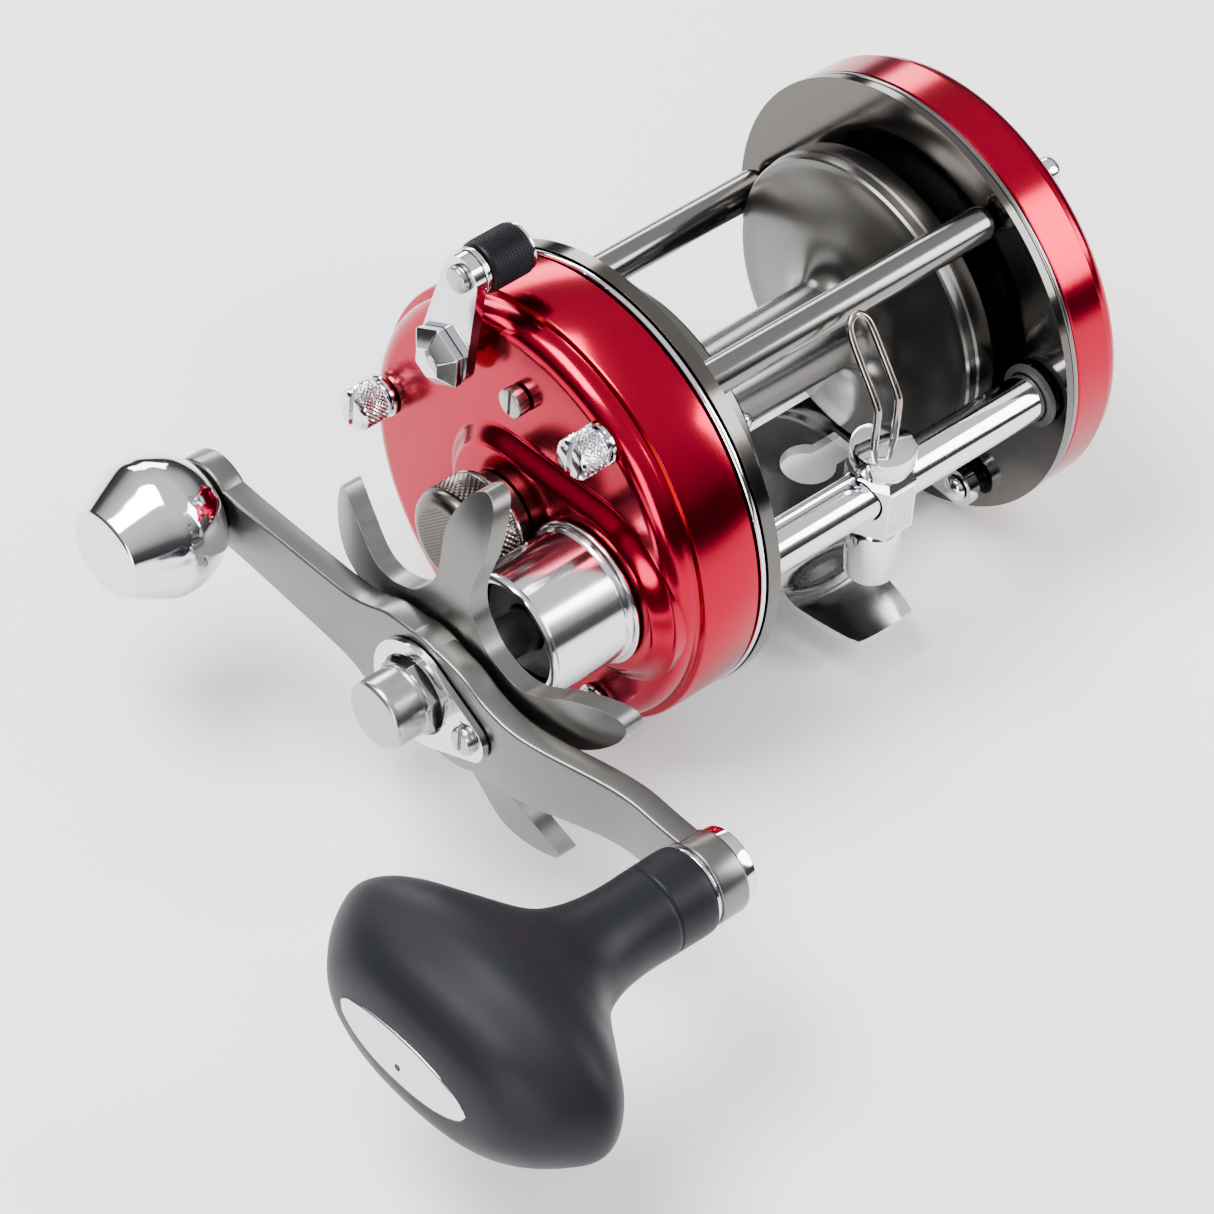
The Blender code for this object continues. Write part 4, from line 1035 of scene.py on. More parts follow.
@dataclass
class RightCover(Assembly):
    """The deep red cover with its raised boss, its slotted screw and its thumb screws."""

    body: str = "frame"
    wall: float = 1.5
    shoulder: float = 3.6
    step: float = 0.9
    boss_drive: float = 13.4
    boss_spool: float = 11.4
    boss_round: float = 1.7
    screw_radius: float = 3.1
    coin_slot: float = 0.45
    face: float = field(init=False)
    boss_face: float = field(init=False)

    def build(self) -> None:
        """Build the cover and the screws on its face."""
        cover = Extent.of("side_cover_right")
        self.face = Extent.of("clutch_lever").high.x + 2.0
        self.boss_face = cover.low.x
        radius = cover.size.z / 2
        depth = cover.high.x - self.face
        lathe = Lathe.about(PLATE_YZ, cover.high.x, Axis.DOWN_X)
        inner, edge = radius - self.wall, radius - self.step
        bend = corner(depth - 2.9, edge - 3.3, 2.9, 3.0, 12)
        profile = [
            (0, inner), (0, radius - 0.25), (0.25, radius), (depth - self.shoulder - 0.4, radius),
            (depth - self.shoulder - 0.15, radius - 0.2), (depth - self.shoulder, edge - 0.15),
            (depth - self.shoulder + 0.4, edge - 0.3), *bend, (depth, 0),
            (depth - self.wall, 0), (depth - self.wall, inner - 1.5),
            (depth - self.wall - 1.5, inner),
        ]
        body = bmesh.new()
        lathe.turn(body, profile, 192)
        self.boss(body)
        self.piece("cover_right", mesh_from("cover_right", body, 40), RED, "red_anodised",
                   "side_cover_right")
        for name in THUMB_SCREWS:
            self.thumb_screw(name)
        self.slotted_screw()

    def boss(self, body: bmesh.types.BMesh) -> None:
        """The raised pad under the cap and the bearing tube, with a soft foot and top edge.

        Args:
            body: The bmesh to add to.
        """
        height = self.face - self.boss_face
        sections = []
        levels = [(1.2, 1.5), (0.0, 1.5)]
        for index in range(1, 19):
            share = index / 18
            rise = share * share * (3 - 2 * share)
            levels.append((-height * rise, 1.5 - (1.5 + self.boss_round) * share))
        for lift, spread in levels:
            loop = strap(DRIVE_YZ, self.boss_drive + spread, SPOOL_YZ, self.boss_spool + spread, 40)
            sections.append([(self.face + lift, y, z) for y, z in loop])
        loft(body, sections)
        reach = self.boss_drive + 1.45
        skirt = [(self.face + 0.1, reach - 2.5), (self.face + 0.1, reach),
                 (self.face + 3.3, reach), (self.face + 3.3, reach - 2.5)]
        Lathe.about(DRIVE_YZ).turn(body, skirt, 128)

    def thumb_screw(self, name: str) -> None:
        """A diamond-knurled thumb screw with a coin slot, over a grooved collar.

        Args:
            name: The screw's node.
        """
        box = Extent.of(name)
        seat = self.face - 0.3
        head = seat - box.low.x
        radius = self.screw_radius
        knurl = Knurl(1.25, head - 0.55, 28, 0.24, 1.0, 6)
        side = run((1.25, 2.95), (head - 0.55, 2.95), knurl.rows(radius))
        profile = [(0, 0), (0, radius), (0.35, radius + 0.05), (0.55, radius - 0.1), (0.6, 2.35),
                   (0.95, 2.35), (1.0, 2.8), *side, (head - 0.2, 2.6), (head, 2.2), (head, 0)]
        lathe = Lathe.about(box.yz, seat, Axis.DOWN_X)
        body = bmesh.new()
        lathe.turn(body, profile, knurl.sides(), knurl.relief)
        obj = self.piece(f"{name}_head", mesh_from(name, body, 28), CHROME, "chrome", name)
        slot = self.coin_slot
        cut(obj, block((box.low.x - 1, box.centre.y - slot, box.centre.z - 5),
                       (box.low.x + 1.3, box.centre.y + slot, box.centre.z + 5)))
        shank = Lathe.about(box.yz)
        mesh = shank.mesh(f"{name}_shank", [(seat, 0), (seat, 1.1), (box.high.x, 1.1),
                                            (box.high.x, 0)], 32)
        self.piece(f"{name}_shank", mesh, STEEL, "turned_steel")

    def slotted_screw(self) -> None:
        """The cheese-head screw between the lever and the boss."""
        box = Extent.of("face_screw")
        top = box.low.x
        profile = rounded([(top, 0), (top, 2.15), (self.face - 0.3, 2.15), (self.face - 0.3, 1.0),
                           (box.high.x, 1.0), (box.high.x, 0)], 0.18)
        lathe = Lathe.about(box.yz)
        obj = self.piece("face_screw_head", lathe.mesh("face_screw", profile, 64), STEEL,
                         "turned_steel", "face_screw")
        cut(obj, block((top - 1, box.centre.y - 0.3, box.centre.z - 4),
                       (top + 0.7, box.centre.y + 0.3, box.centre.z + 4)))


@dataclass
class BearingTube(Assembly):
    """The bright tube that carries the drive shaft, with a beaded flange and a stepped mouth."""

    body: str = "frame"
    wall: float = 1.5

    def build(self) -> None:
        """Build the tube."""
        box = Extent.of("handle_bearing_tube")
        flange = box.size.z / 2
        seat = Extent.of("side_cover_right").low.x - 0.3
        length = seat - box.low.x
        radius = flange - 0.9
        bore = radius - 1.8
        bead = corner(0.45, flange - 0.4, 0.45, 0.4, 10, -1.0)
        spigot = seat - box.high.x
        profile = [
            (0, flange - 0.9), *bead, (1.0, radius + 0.35), (1.25, radius + 0.38),
            (1.6, radius + 0.25), (1.9, radius), (length - 0.9, radius),
            (length - 0.75, radius - 0.12), (length - 0.35, radius - 0.14),
            (length - 0.1, radius - 0.3), (length, radius - 0.7), (length - 0.1, radius - 0.95),
            (length - 0.7, radius - 1.05), (length - 0.8, bore), (1.5, bore), (1.5, 5.2),
            (spigot, 5.2), (spigot, 8.6), (0, 8.6),
        ]
        lathe = Lathe.about(DRIVE_YZ, seat, Axis.DOWN_X)
        mesh = lathe.mesh("bearing_tube", profile, 144)
        self.piece("bearing_tube", mesh, TURNED_CHROME, "chrome", "handle_bearing_tube")
        profile = rounded([(1.6, 3.4), (1.6, bore - 0.25), (length - 3.5, bore - 0.25),
                           (length - 3.5, 3.4)], 0.4)
        self.piece("tube_sleeve", lathe.mesh("tube_sleeve", profile, 96), FIBRE, "black_fibre")


@dataclass
class LeftCover(Assembly):
    """The shallow red cover, its bearing housing, cap and clicker button."""

    body: str = "frame"
    wall: float = 1.5

    def build(self) -> None:
        """Build the cover, the bearing cap and the button."""
        cover = Extent.of("side_cover_left")
        cap = Extent.of("left_bearing_cap")
        radius = cover.size.z / 2
        face = cover.high.x - 1.6
        edge = radius - 0.4
        start = cover.low.x
        inner = radius - self.wall
        bend = corner(face - 1.9, edge - 2.1, 1.9, 1.9, 10)
        profile = [
            (start, inner), (start, radius - 0.2), (start + 0.2, radius), (face - 2.75, radius),
            (face - 2.6, radius - 0.15), (face - 2.5, edge - 0.1), *bend, (face, 14.0),
            (face - 0.5, 13.4), (face - 0.5, 0), (face - self.wall, 0),
            (face - self.wall, inner - 1.0), (face - self.wall - 1.0, inner),
        ]
        body = bmesh.new()
        Lathe.about(PLATE_YZ).turn(body, profile, 192)
        profile = rounded([(face - 3.5, 4.6), (face - 3.5, 6.2), (face - 0.9, 6.2),
                           (face - 0.9, 9.2), (face + 0.3, 8.6), (face + 1.6, 7.5),
                           (face + 1.6, 4.6)], 0.35)
        Lathe.about(SPOOL_YZ).turn(body, profile, 128)
        obj = self.piece("cover_left", mesh_from("cover_left", body, 40), RED, "red_anodised",
                         "side_cover_left")
        button = Extent.of("clicker_button")
        at = button.yz
        away = Vector((PLATE_YZ[0] - at[0], PLATE_YZ[1] - at[1])).normalized() * 4.0
        slot = bmesh.new()
        extrude(slot, [strap(at, 1.6, (at[0] + away.x, at[1] + away.y), 1.6, 16)],
                face - 4, face + 4)
        cut(obj, mesh_from("slot", slot))
        base = face + 0.3
        profile = [(base, 0), (base, 2.0), (base + 1.0, 2.1), (base + 2.0, 2.1),
                   (base + 2.6, 1.9), (base + 3.0, 1.3), (button.high.x, 0.8),
                   (button.high.x, 0)]
        profile = rounded(profile, 0.25)
        mesh = Lathe.about(at).mesh("button", profile, 64)
        self.piece("clicker_knob", mesh, CHROME, "chrome", "clicker_button", body="clicker")
        profile = rounded([(cap.low.x, 0), (cap.low.x, 4.3), (cap.high.x - 0.7, 4.3),
                           (cap.high.x, 3.6), (cap.high.x, 0)], 0.25)
        mesh = Lathe.about(SPOOL_YZ).mesh("bearing_cap", profile, 64)
        obj = self.piece("bearing_cap", mesh, CHROME, "chrome", "left_bearing_cap")
        y, z = SPOOL_YZ
        cut(obj, block((cap.high.x - 0.8, y - 0.6, z - 6), (cap.high.x + 1, y + 0.6, z + 6)))


@dataclass
class Foot(Assembly):
    """The stamped and plated foot: keyhole deck, two dished tongues and four riveted ears."""

    body: str = "frame"
    metal: float = 1.8
    deck_half: float = 21.3
    hole: float = 4.0
    notch: float = 2.5
    notch_reach: float = 7.4
    drop: float = -2.5
    ear_radius: float = 3.0
    rivet_hole: float = 1.35
    rivet_radius: float = 1.95
    rivet_dome: float = 1.25
    tongue_half: Sequence[Point2] = ((8.0, 7.6), (12.0, 7.6), (18.0, 7.2), (23.0, 6.5),
                                     (28.4, 5.3))

    def keyhole(self, x: float, side: float) -> list[Point2]:
        """The outline of one keyhole, as (y, -x) points.

        Args:
            x: Where the round hole's centre is.
            side: RIGHT or LEFT, the way that its notch points.

        Returns:
            The loop.
        """
        radius, notch, reach = self.hole, self.notch, self.notch_reach
        opening = math.degrees(math.asin(notch / radius))
        middle = 180 if side > 0 else 0
        loop = arc(radius, 0, 0, middle + opening, middle + 360 - opening, 40)
        loop += [(-side * notch, -side * reach), (side * notch, -side * reach)]
        return [(y, z - x) for y, z in loop]

    def build(self) -> None:
        """Build the foot as one plated piece, and its rivets."""
        box = Extent.of("reel_foot")
        rivet = Extent.of("foot_rivet_front_right")
        body = bmesh.new()
        deck = [(-10.0, -self.deck_half), (10.0, -self.deck_half), (10.0, self.deck_half),
                (-10.0, self.deck_half)]
        flat = bmesh.new()
        extrude(flat, [deck, self.keyhole(-11.5, RIGHT), self.keyhole(11.5, LEFT)], 0, self.metal)
        lay = Matrix.Rotation(math.radians(-90), 3, "Y")
        bmesh.ops.rotate(flat, matrix=lay, verts=flat.verts)
        self.merge(body, flat)
        for way in (-1, 1):
            self.tongue(body, way)
        ear_out = box.size.x / 2
        for way in (-1, 1):
            post = (way * abs(rivet.centre.y), rivet.centre.z)
            for side in (RIGHT, LEFT):
                outline = strap(post, self.ear_radius, (way * 7.0, 0.9), 0.9, 16)
                hole = circle(self.rivet_hole, 20, *post)
                faces = sorted((side * ear_out, side * (ear_out - self.metal)))
                extrude(body, [outline, hole], *faces)
        for side in (RIGHT, LEFT):
            ends = sorted((side * (self.deck_half - 1.0), side * (ear_out - 0.4)))
            extrude(body, [[(-9, 0), (9, 0), (9, self.metal), (-9, self.metal)]], *ends)
        self.piece("foot", mesh_from("foot", body), CHROME, "chrome", "reel_foot", edge=0.28)
        for way in ("front", "rear"):
            for side, hand in ((RIGHT, "right"), (LEFT, "left")):
                self.rivet(f"foot_rivet_{way}_{hand}", side)

    @staticmethod
    def merge(body: bmesh.types.BMesh, other: bmesh.types.BMesh) -> None:
        """Add another bmesh's faces to a body, and free it.

        Args:
            body: The bmesh to add to.
            other: The bmesh to add and free.
        """
        copies = {vertex: body.verts.new(vertex.co) for vertex in other.verts}
        for face in other.faces:
            body.faces.new([copies[vertex] for vertex in face.verts])
        other.free()

    def tongue(self, body: bmesh.types.BMesh, way: int) -> None:
        """One end of the foot, which steps down from the deck and dishes towards its tip.

        Args:
            body: The bmesh to add to.
            way: -1 for the front tongue, 1 for the rear one.
        """
        drop, across = self.drop, 12
        levels = [(0.0, 0.0), (0.0, 0.0), (0.9, drop), (1.0, drop), (1.0, drop)]
        rows = spline([(reach, half, low) for (reach, half), (_, low)
                       in zip(self.tongue_half, levels)], 6)
        sections = []
        for reach, half, low in rows:
            dish = 0.7 * min(1.0, max(0.0, (reach - 12.0) / 8.0))
            under, over = [], []
            for index in range(across + 1):
                share = index / across * 2 - 1
                lift = max(low, drop) + dish * share * share
                tuck = 1.0 if reach < 27.5 or abs(share) < 0.9 else 0.96
                under.append((half * share * tuck, way * reach, lift))
                over.append((half * share * tuck, way * reach, lift + self.metal - dish))
            sections.append(under + over[::-1])
        loft(body, sections)

    def rivet(self, name: str, side: float) -> None:
        """A domed rivet head inside an ear.

        Args:
            name: The rivet's node.
            side: RIGHT or LEFT, where its ear is.
        """
        box = Extent.of(name)
        head = box.inner(side)
        rise = side * self.rivet_dome
        profile = [*dome(head, rise, self.rivet_radius, 8), (head + rise, 1.0),
                   (box.outer(side), 1.0), (box.outer(side), 0)]
        lathe = Lathe.about(box.yz)
        self.piece(f"{name}_head", lathe.mesh(name, profile, 40), CHROME, "chrome", name)


# ---------------------------------------------------------------- spool and level wind


@dataclass
class Spool(Assembly):
    """The turned spool with rolled rims, flared flanks and a line pin."""

    body: str = "spool"
    arbor: float = 6.65

    def build(self) -> None:
        """Build the spool and its pin."""
        box = Extent.of("spool")
        edge, radius = box.size.x / 2, box.size.z / 2
        flank = spline([(edge - 5.1, radius - 1.3), (edge - 5.5, radius - 4.0),
                        (edge - 6.6, 14.5), (edge - 7.6, 10.8), (edge - 8.9, self.arbor + 1.6),
                        (edge - 10.4, self.arbor + 0.35), (edge - 11.6, self.arbor)], 5)
        lip = [(edge, radius - 1.6), (edge, radius - 0.5), (edge - 0.2, radius - 0.15),
               (edge - 0.5, radius), (edge - 3.0, radius), (edge - 3.3, radius - 0.25),
               (edge - 4.6, radius - 0.25), (edge - 4.95, radius - 0.5)]
        half = lip + [tuple(point) for point in flank]
        half.append((0.0, self.arbor))
        recess = [(edge - 5.6, 1.8), (edge - 5.6, 7.6), (edge - 5.5, 8.6), (edge - 5.0, 12.8),
                  (edge - 4.4, 15.0), (edge - 3.9, 17.5), (edge - 3.6, radius - 2.4),
                  (edge - 0.3, radius - 1.9)]
        mirrored = [(-x, r) for x, r in reversed(half[:-1])]
        profile = half + mirrored + [(-x, r) for x, r in reversed(recess)] + recess
        lathe = Lathe.about(SPOOL_YZ)
        self.piece("spool_body", lathe.mesh("spool", profile, 192), SPOOL_GREY, "spool_grey",
                   "spool")
        pin = Extent.of("line_pin")
        length = pin.size.y
        profile = [*dome(0.0, 0.9, 1.45, 6), (1.3, 1.45), (1.4, 0.9), (length, 0.9), (length, 0)]
        at = Vector((pin.centre.x, pin.low.y, pin.centre.z))
        self.piece("line_stud", Lathe(at, Axis.BACK).mesh("line_pin", profile, 32), CHROME,
                   "chrome", "line_pin")


@dataclass
class LevelWind(Assembly):
    """The slotted tube, its worm, and the carriage that carries the wire guide."""

    body: str = "carriage"
    outer: float = 3.5
    bore: float = 2.75
    slot: float = 1.4
    wire: float = 0.55
    carriage_radius: float = 5.1
    ribs: int = 9
    worm_pitch: float = 9.0

    def build(self) -> None:
        """Build the tube, worm, carriage, pawl cap and guide."""
        self.tube()
        self.worm()
        self.carriage()
        self.guide()

    def tube(self) -> None:
        """The plated tube, slotted below for the pawl."""
        box = Extent.of("level_wind_tube")
        y, z = TUBE_AXIS.y, TUBE_AXIS.z
        wide = math.degrees(math.asin(self.slot / self.outer))
        narrow = math.degrees(math.asin(self.slot / self.bore))
        loop = arc(self.outer, y, z, 180 + wide, 540 - wide, 72)
        loop += arc(self.bore, y, z, 540 - narrow, 180 + narrow, 60)
        body = bmesh.new()
        extrude(body, [loop], box.low.x, box.high.x)
        self.piece("wind_tube", mesh_from("wind_tube", body), CHROME, "chrome",
                   "level_wind_tube", edge=0.15, body="frame")

    def worm(self) -> None:
        """The crossed-groove shaft inside the tube."""
        box = Extent.of("worm_shaft")
        start, end = box.low.x + 1.8, Extent.of("frame_plate_left").low.x - 3.0
        pitch = self.worm_pitch

        def groove(reach: float, radius: float, turn: float) -> float:
            """Depth of the two crossed helical grooves.

            Args:
                reach: Place along the shaft.
                radius: The radius there.
                turn: Angle round the axis.

            Returns:
                A negative distance in a groove, and 0 outside.
            """
            if not start + 1 < reach < end - 1:
                return 0.0
            depth = 0.0
            for hand in (-1, 1):
                phase = turn / FULL_TURN + hand * reach / pitch
                near = abs(phase - round(phase)) * pitch
                depth = max(depth, 1.0 - min(1.0, near / 0.8))
            return -0.7 * min(1.0, depth * 2.2)

        profile = [(box.low.x, 0), (box.low.x, 1.3), (start, 1.3)]
        profile += run((start, 2.1), (end, 2.1), 240)
        profile += [(end, 1.5), (box.high.x, 1.5), (box.high.x, 0)]
        lathe = Lathe.about((TUBE_AXIS.y, TUBE_AXIS.z))
        self.piece("worm", lathe.mesh("worm", profile, 48, groove), STEEL, "turned_steel",
                   "worm_shaft", body="worm")

    def carriage(self) -> None:
        """A ribbed barrel on the tube, with a collar on top and the pawl's cap below."""
        box = Extent.of("carriage")
        at = Vector((box.centre.x, TUBE_AXIS.y, TUBE_AXIS.z))
        top, bottom = box.high.z - at.z, box.low.z - at.z
        body = bmesh.new()
        hexagon = [(math.sin(t), -math.cos(t)) for t in
                   (math.radians(30 + 60 * index) for index in range(6))]
        sections = []
        for level, size in ((-6.4, 0.84), (-5.6, 1.0), (3.0, 1.0), (4.0, 0.84)):
            reach = self.carriage_radius * size
            sections.append([(at.x + reach * x, at.y + reach * y, at.z + level)
                             for x, y in hexagon])
        loft(body, sections)
        obj = self.piece("carriage_barrel", mesh_from("carriage", body, 28), CHROME, "chrome",
                         "carriage")
        bore = Lathe(at).mesh("bore", [(-9, 0), (-9, self.outer + 0.25), (9, self.outer + 0.25),
                                       (9, 0)], 72)
        cut(obj, bore)
        self.carriage_trim(at, top, bottom)
        cap = Extent.of("pawl_cap")
        low, high, radius = cap.low.z - at.z, cap.high.z - at.z, cap.size.x / 2
        profile = [(high, 1.4), (high, radius - 0.35), (high - 0.4, radius - 0.05),
                   (high - 0.8, radius), (low + 1.2, radius), (low + 0.5, radius - 0.25),
                   (low + 0.1, radius - 0.9), (low, radius - 1.8), (low, 0), (high - 0.4, 0),
                   (high - 0.4, 1.4)]
        self.piece("pawl_cap_turned", Lathe(at, Axis.UP).mesh("pawl_cap", profile, 72), CHROME,
                   "chrome", "pawl_cap")

    def carriage_trim(self, at: Vector, top: float, bottom: float) -> None:
        """The carriage's round collar, its lower end and the ridges on its front.

        Args:
            at: The point on the tube's axis at the middle of the carriage.
            top: Height of the collar's top above that point.
            bottom: Height of the lower end, which is negative.
        """
        body = bmesh.new()
        profile = [(bottom, 0), (bottom, 3.4), (-6.0, 3.6), (-6.0, 0)]
        Lathe(at, Axis.UP).turn(body, profile, 72)
        profile = [(3.9, 0), (3.9, 3.9), (4.9, 3.9), (5.1, 4.45), (5.4, 4.6), (top - 0.4, 4.6),
                   (top - 0.15, 4.5), (top, 4.1), (top, 0)]
        Lathe(at, Axis.UP).turn(body, profile, 96)
        front = at.y - self.carriage_radius * math.cos(math.radians(30))
        for index in range(self.ribs):
            x = at.x + (index - (self.ribs - 1) / 2) * 0.5
            ridge = [(x - 0.19, front + 0.2), (x - 0.13, front - 0.1), (x, front - 0.16),
                     (x + 0.13, front - 0.1), (x + 0.19, front + 0.2)]
            loft(body, [[(*point, at.z + level) for point in ridge] for level in (-5.0, 2.4)])
        self.piece("carriage_trim", mesh_from("carriage_trim", body, 28), CHROME, "chrome")

    def guide(self) -> None:
        """The hairpin of wire that the line runs through."""
        box = Extent.of("line_guide")
        at = Vector((box.centre.x, TUBE_AXIS.y, TUBE_AXIS.z))
        foot, tip = box.low.z - at.z + 0.4, box.high.z - at.z - self.wire
        lean = box.high.y - at.y - self.wire
        leg = [(-1.9, 0.0, foot), (-1.9, 0.0, 10.0), (-1.9, 0.0, 14.4), (-1.9, 0.3, 15.6),
               (-1.9, 1.6, 17.6), (-1.9, 4.4, 21.3), (-1.75, lean - 1.1, tip - 1.6),
               (-1.0, lean - 0.15, tip - 0.4)]
        route = leg + [(0.0, lean, tip)] + [(-x, y, z) for x, y, z in reversed(leg)]
        path = [at + point for point in spline(route, 8)]
        data = bpy.data.curves.new("guide", "CURVE")
        data.dimensions = "3D"
        data.bevel_depth = self.wire * MM
        data.bevel_resolution = 6
        data.use_fill_caps = True
        line = data.splines.new("POLY")
        line.points.add(len(path) - 1)
        for point, place in zip(line.points, path):
            point.co = (*(place * MM), 1.0)
        self.piece("guide_hairpin", data, WIRE, "guide_wire", "line_guide")


# ---------------------------------------------------------------- handle side


@dataclass
class StarDrag(Assembly):
    """The five-armed drag star, with leaf-shaped arms that sweep back to blunt tips."""

    body: str = "star"
    arms: int = 5
    thickness: float = 3.0
    bore: float = 3.35
    sweep: float = 5.6
    radius: float = 30.0
    rings: int = 9
    leaf: Sequence[Point2] = ((0.44, 0.34), (0.49, 0.22), (0.57, 0.152), (0.67, 0.137),
                              (0.77, 0.132), (0.87, 0.104), (0.95, 0.066), (0.987, 0.033))

    def build(self) -> None:
        """Build the star as one bevelled casting."""
        middle_x = Extent.of("star_drag").low.x + self.thickness / 2
        pitch = FULL_TURN / self.arms
        knots = []
        for arm in range(self.arms):
            middle = arm * pitch
            knots += [(reach, middle - spread * pitch) for reach, spread in self.leaf]
            knots.append((1.0, middle))
            knots += [(reach, middle + spread * pitch) for reach, spread in reversed(self.leaf)]
            knots.append((0.415, middle + pitch / 2))
        points = [(-self.radius * reach * math.sin(turn), self.radius * reach * math.cos(turn))
                  for reach, turn in knots]
        outline = spline(points, 5, closed=True)
        body = bmesh.new()
        layers: list[list] = []
        for side in (-1, 1):
            for index in range(self.rings + 1):
                share = index / self.rings
                ring = []
                for point in outline:
                    length = self.bore + (point.length - self.bore) * share
                    place = point.normalized() * length
                    relative = length / self.radius
                    sweep = self.sweep * relative**4
                    thick = self.thickness / 2 * (0.9 + 0.1 * relative)
                    x = middle_x + sweep + side * thick
                    ring.append(body.verts.new((x, DRIVE_YZ[0] + place.x, DRIVE_YZ[1] + place.y)))
                layers.append(ring)
        skin(body, layers[:self.rings + 1] + layers[self.rings + 1:][::-1], True)
        self.piece("star", mesh_from("star", body, 45), SATIN, "satin_grey", "star_drag",
                   edge=0.75)


@dataclass
class Handle(Assembly):
    """The cranked handle arm with its hub, nut, lock plate and knob spindles."""

    body: str = "drive"
    thickness: float = 3.8
    corner: float = 0.45
    nut_corner: float = 5.6
    lock_reach: float = 10.5
    lock_hub: float = 8.0
    lock_ear: float = 3.4
    lock_opening: float = 6.0
    lock_hole: float = 1.3
    hub_x: float = field(init=False)
    power_x: float = field(init=False)
    small: Vector = field(init=False)
    power: Vector = field(init=False)

    def build(self) -> None:
        """Build the arm and the fittings on it."""
        self.hub_x = Extent.of("handle_arm").low.x + self.thickness / 2
        self.small = Extent.of("small_knob").centre
        self.power = Extent.of("power_knob").centre
        self.power_x = Extent.of("handle_arm").high.x - self.thickness / 2
        self.arm()
        self.nut()
        self.lock()
        self.spindles()

    def arm(self) -> None:
        """The flat arm: a wide hub, a straight end, and an end cranked towards the reel."""
        back = self.small.y - DRIVE_YZ[0]
        front = self.power.y - DRIVE_YZ[0]
        crank = self.power_x - self.hub_x
        stations = [(back, 4.9), (back - 7, 4.6), (26.0, 5.0), (15.5, 5.6), (11.0, 6.9),
                    (7.0, 8.5), (0.0, 9.1), (-7.0, 8.5), (-11.5, 6.8), (-16.0, 6.0),
                    (-25.0, 5.3), (-34.0, 4.7), (front + 7, 4.5), (front, 4.8)]
        sections = []
        for y, half in spline(stations, 6):
            share = min(max((-15.0 - y) / 22.0, 0.0), 1.0)
            x = self.hub_x + crank * share * share * (3 - 2 * share)
            thick = self.thickness / 2
            loop = []
            for sx, sz, first in ((1, 1, 0), (-1, 1, 90), (-1, -1, 180), (1, -1, 270)):
                for step in range(4):
                    turn = math.radians(first + 30 * step)
                    loop.append((x + sx * (thick - self.corner) + self.corner * math.cos(turn),
                                 DRIVE_YZ[0] + y,
                                 DRIVE_YZ[1] + sz * (half - self.corner)
                                 + self.corner * math.sin(turn)))
            sections.append(loop)
        body = bmesh.new()
        loft(body, sections)
        eyes = ((self.small, self.hub_x, 6.2, self.thickness), (self.power, self.power_x, 6.0, 4.6))
        for spot, x, radius, thick in eyes:
            half = thick / 2
            profile = rounded([(x - half, 1.9), (x - half, radius), (x + half, radius),
                               (x + half, 1.9)], 0.5, 4)
            Lathe.about((spot.y, DRIVE_YZ[1])).turn(body, profile, 72)
        half = self.thickness / 2
        profile = rounded([(-half - 0.02, 3.3), (-half - 0.02, 9.3), (half + 0.25, 9.3),
                           (half + 0.25, 3.3)], 0.45, 4)
        Lathe.about(DRIVE_YZ, self.hub_x).turn(body, profile, 96)
        self.piece("arm", mesh_from("arm", body, 38), SATIN, "satin_grey", "handle_arm")

    def nut(self) -> None:
        """The hexagon nut and the round cap that stands on it."""
        box = Extent.of("handle_nut")
        start = box.high.x
        lathe = Lathe.about(DRIVE_YZ, start, Axis.DOWN_X)
        total = box.size.x
        body = bmesh.new()
        corners = circle(self.nut_corner, 6, *DRIVE_YZ)
        extrude(body, [corners], start - 2.6, start)
        profile = [(2.0, 0), (2.0, 5.2), (2.8, 5.2), (3.0, 5.05), (total - 0.8, 5.05),
                   (total - 0.3, 4.85), (total, 4.3), (total, 0)]
        lathe.turn(body, rounded(profile, 0.2), 72)
        self.piece("handle_nut_cap", mesh_from("handle_nut_cap", body), STEEL, "turned_steel",
                   "handle_nut", edge=0.2)

    def lock(self) -> None:
        """The plate that stops the nut turning, and its slotted screw."""
        box = Extent.of("lock_plate")
        y, z = DRIVE_YZ
        ear = (y - self.lock_reach, z)
        body = bmesh.new()
        extrude(body, [strap((y, z), self.lock_hub, ear, self.lock_ear, 40),
                       circle(self.lock_opening, 48, y, z), circle(self.lock_hole, 24, *ear)],
                box.low.x, box.high.x)
        self.piece("lock_plate_bright", mesh_from("lock_plate", body), CHROME, "chrome",
                   "lock_plate", edge=0.25)
        screw = Extent.of("lock_screw")
        top = screw.low.x
        profile = rounded([(top, 0), (top, 1.75), (top + 0.5, 2.1), (box.low.x - 0.02, 2.1),
                           (box.low.x - 0.02, 1.0), (screw.high.x, 1.0), (screw.high.x, 0)], 0.12)
        obj = self.piece("lock_screw_head", Lathe.about(ear).mesh("lock_screw", profile, 48),
                         STEEL, "turned_steel", "lock_screw")
        cut(obj, block((top - 1, ear[0] - 0.35, z - 4), (top + 0.45, ear[0] + 0.35, z + 4)))

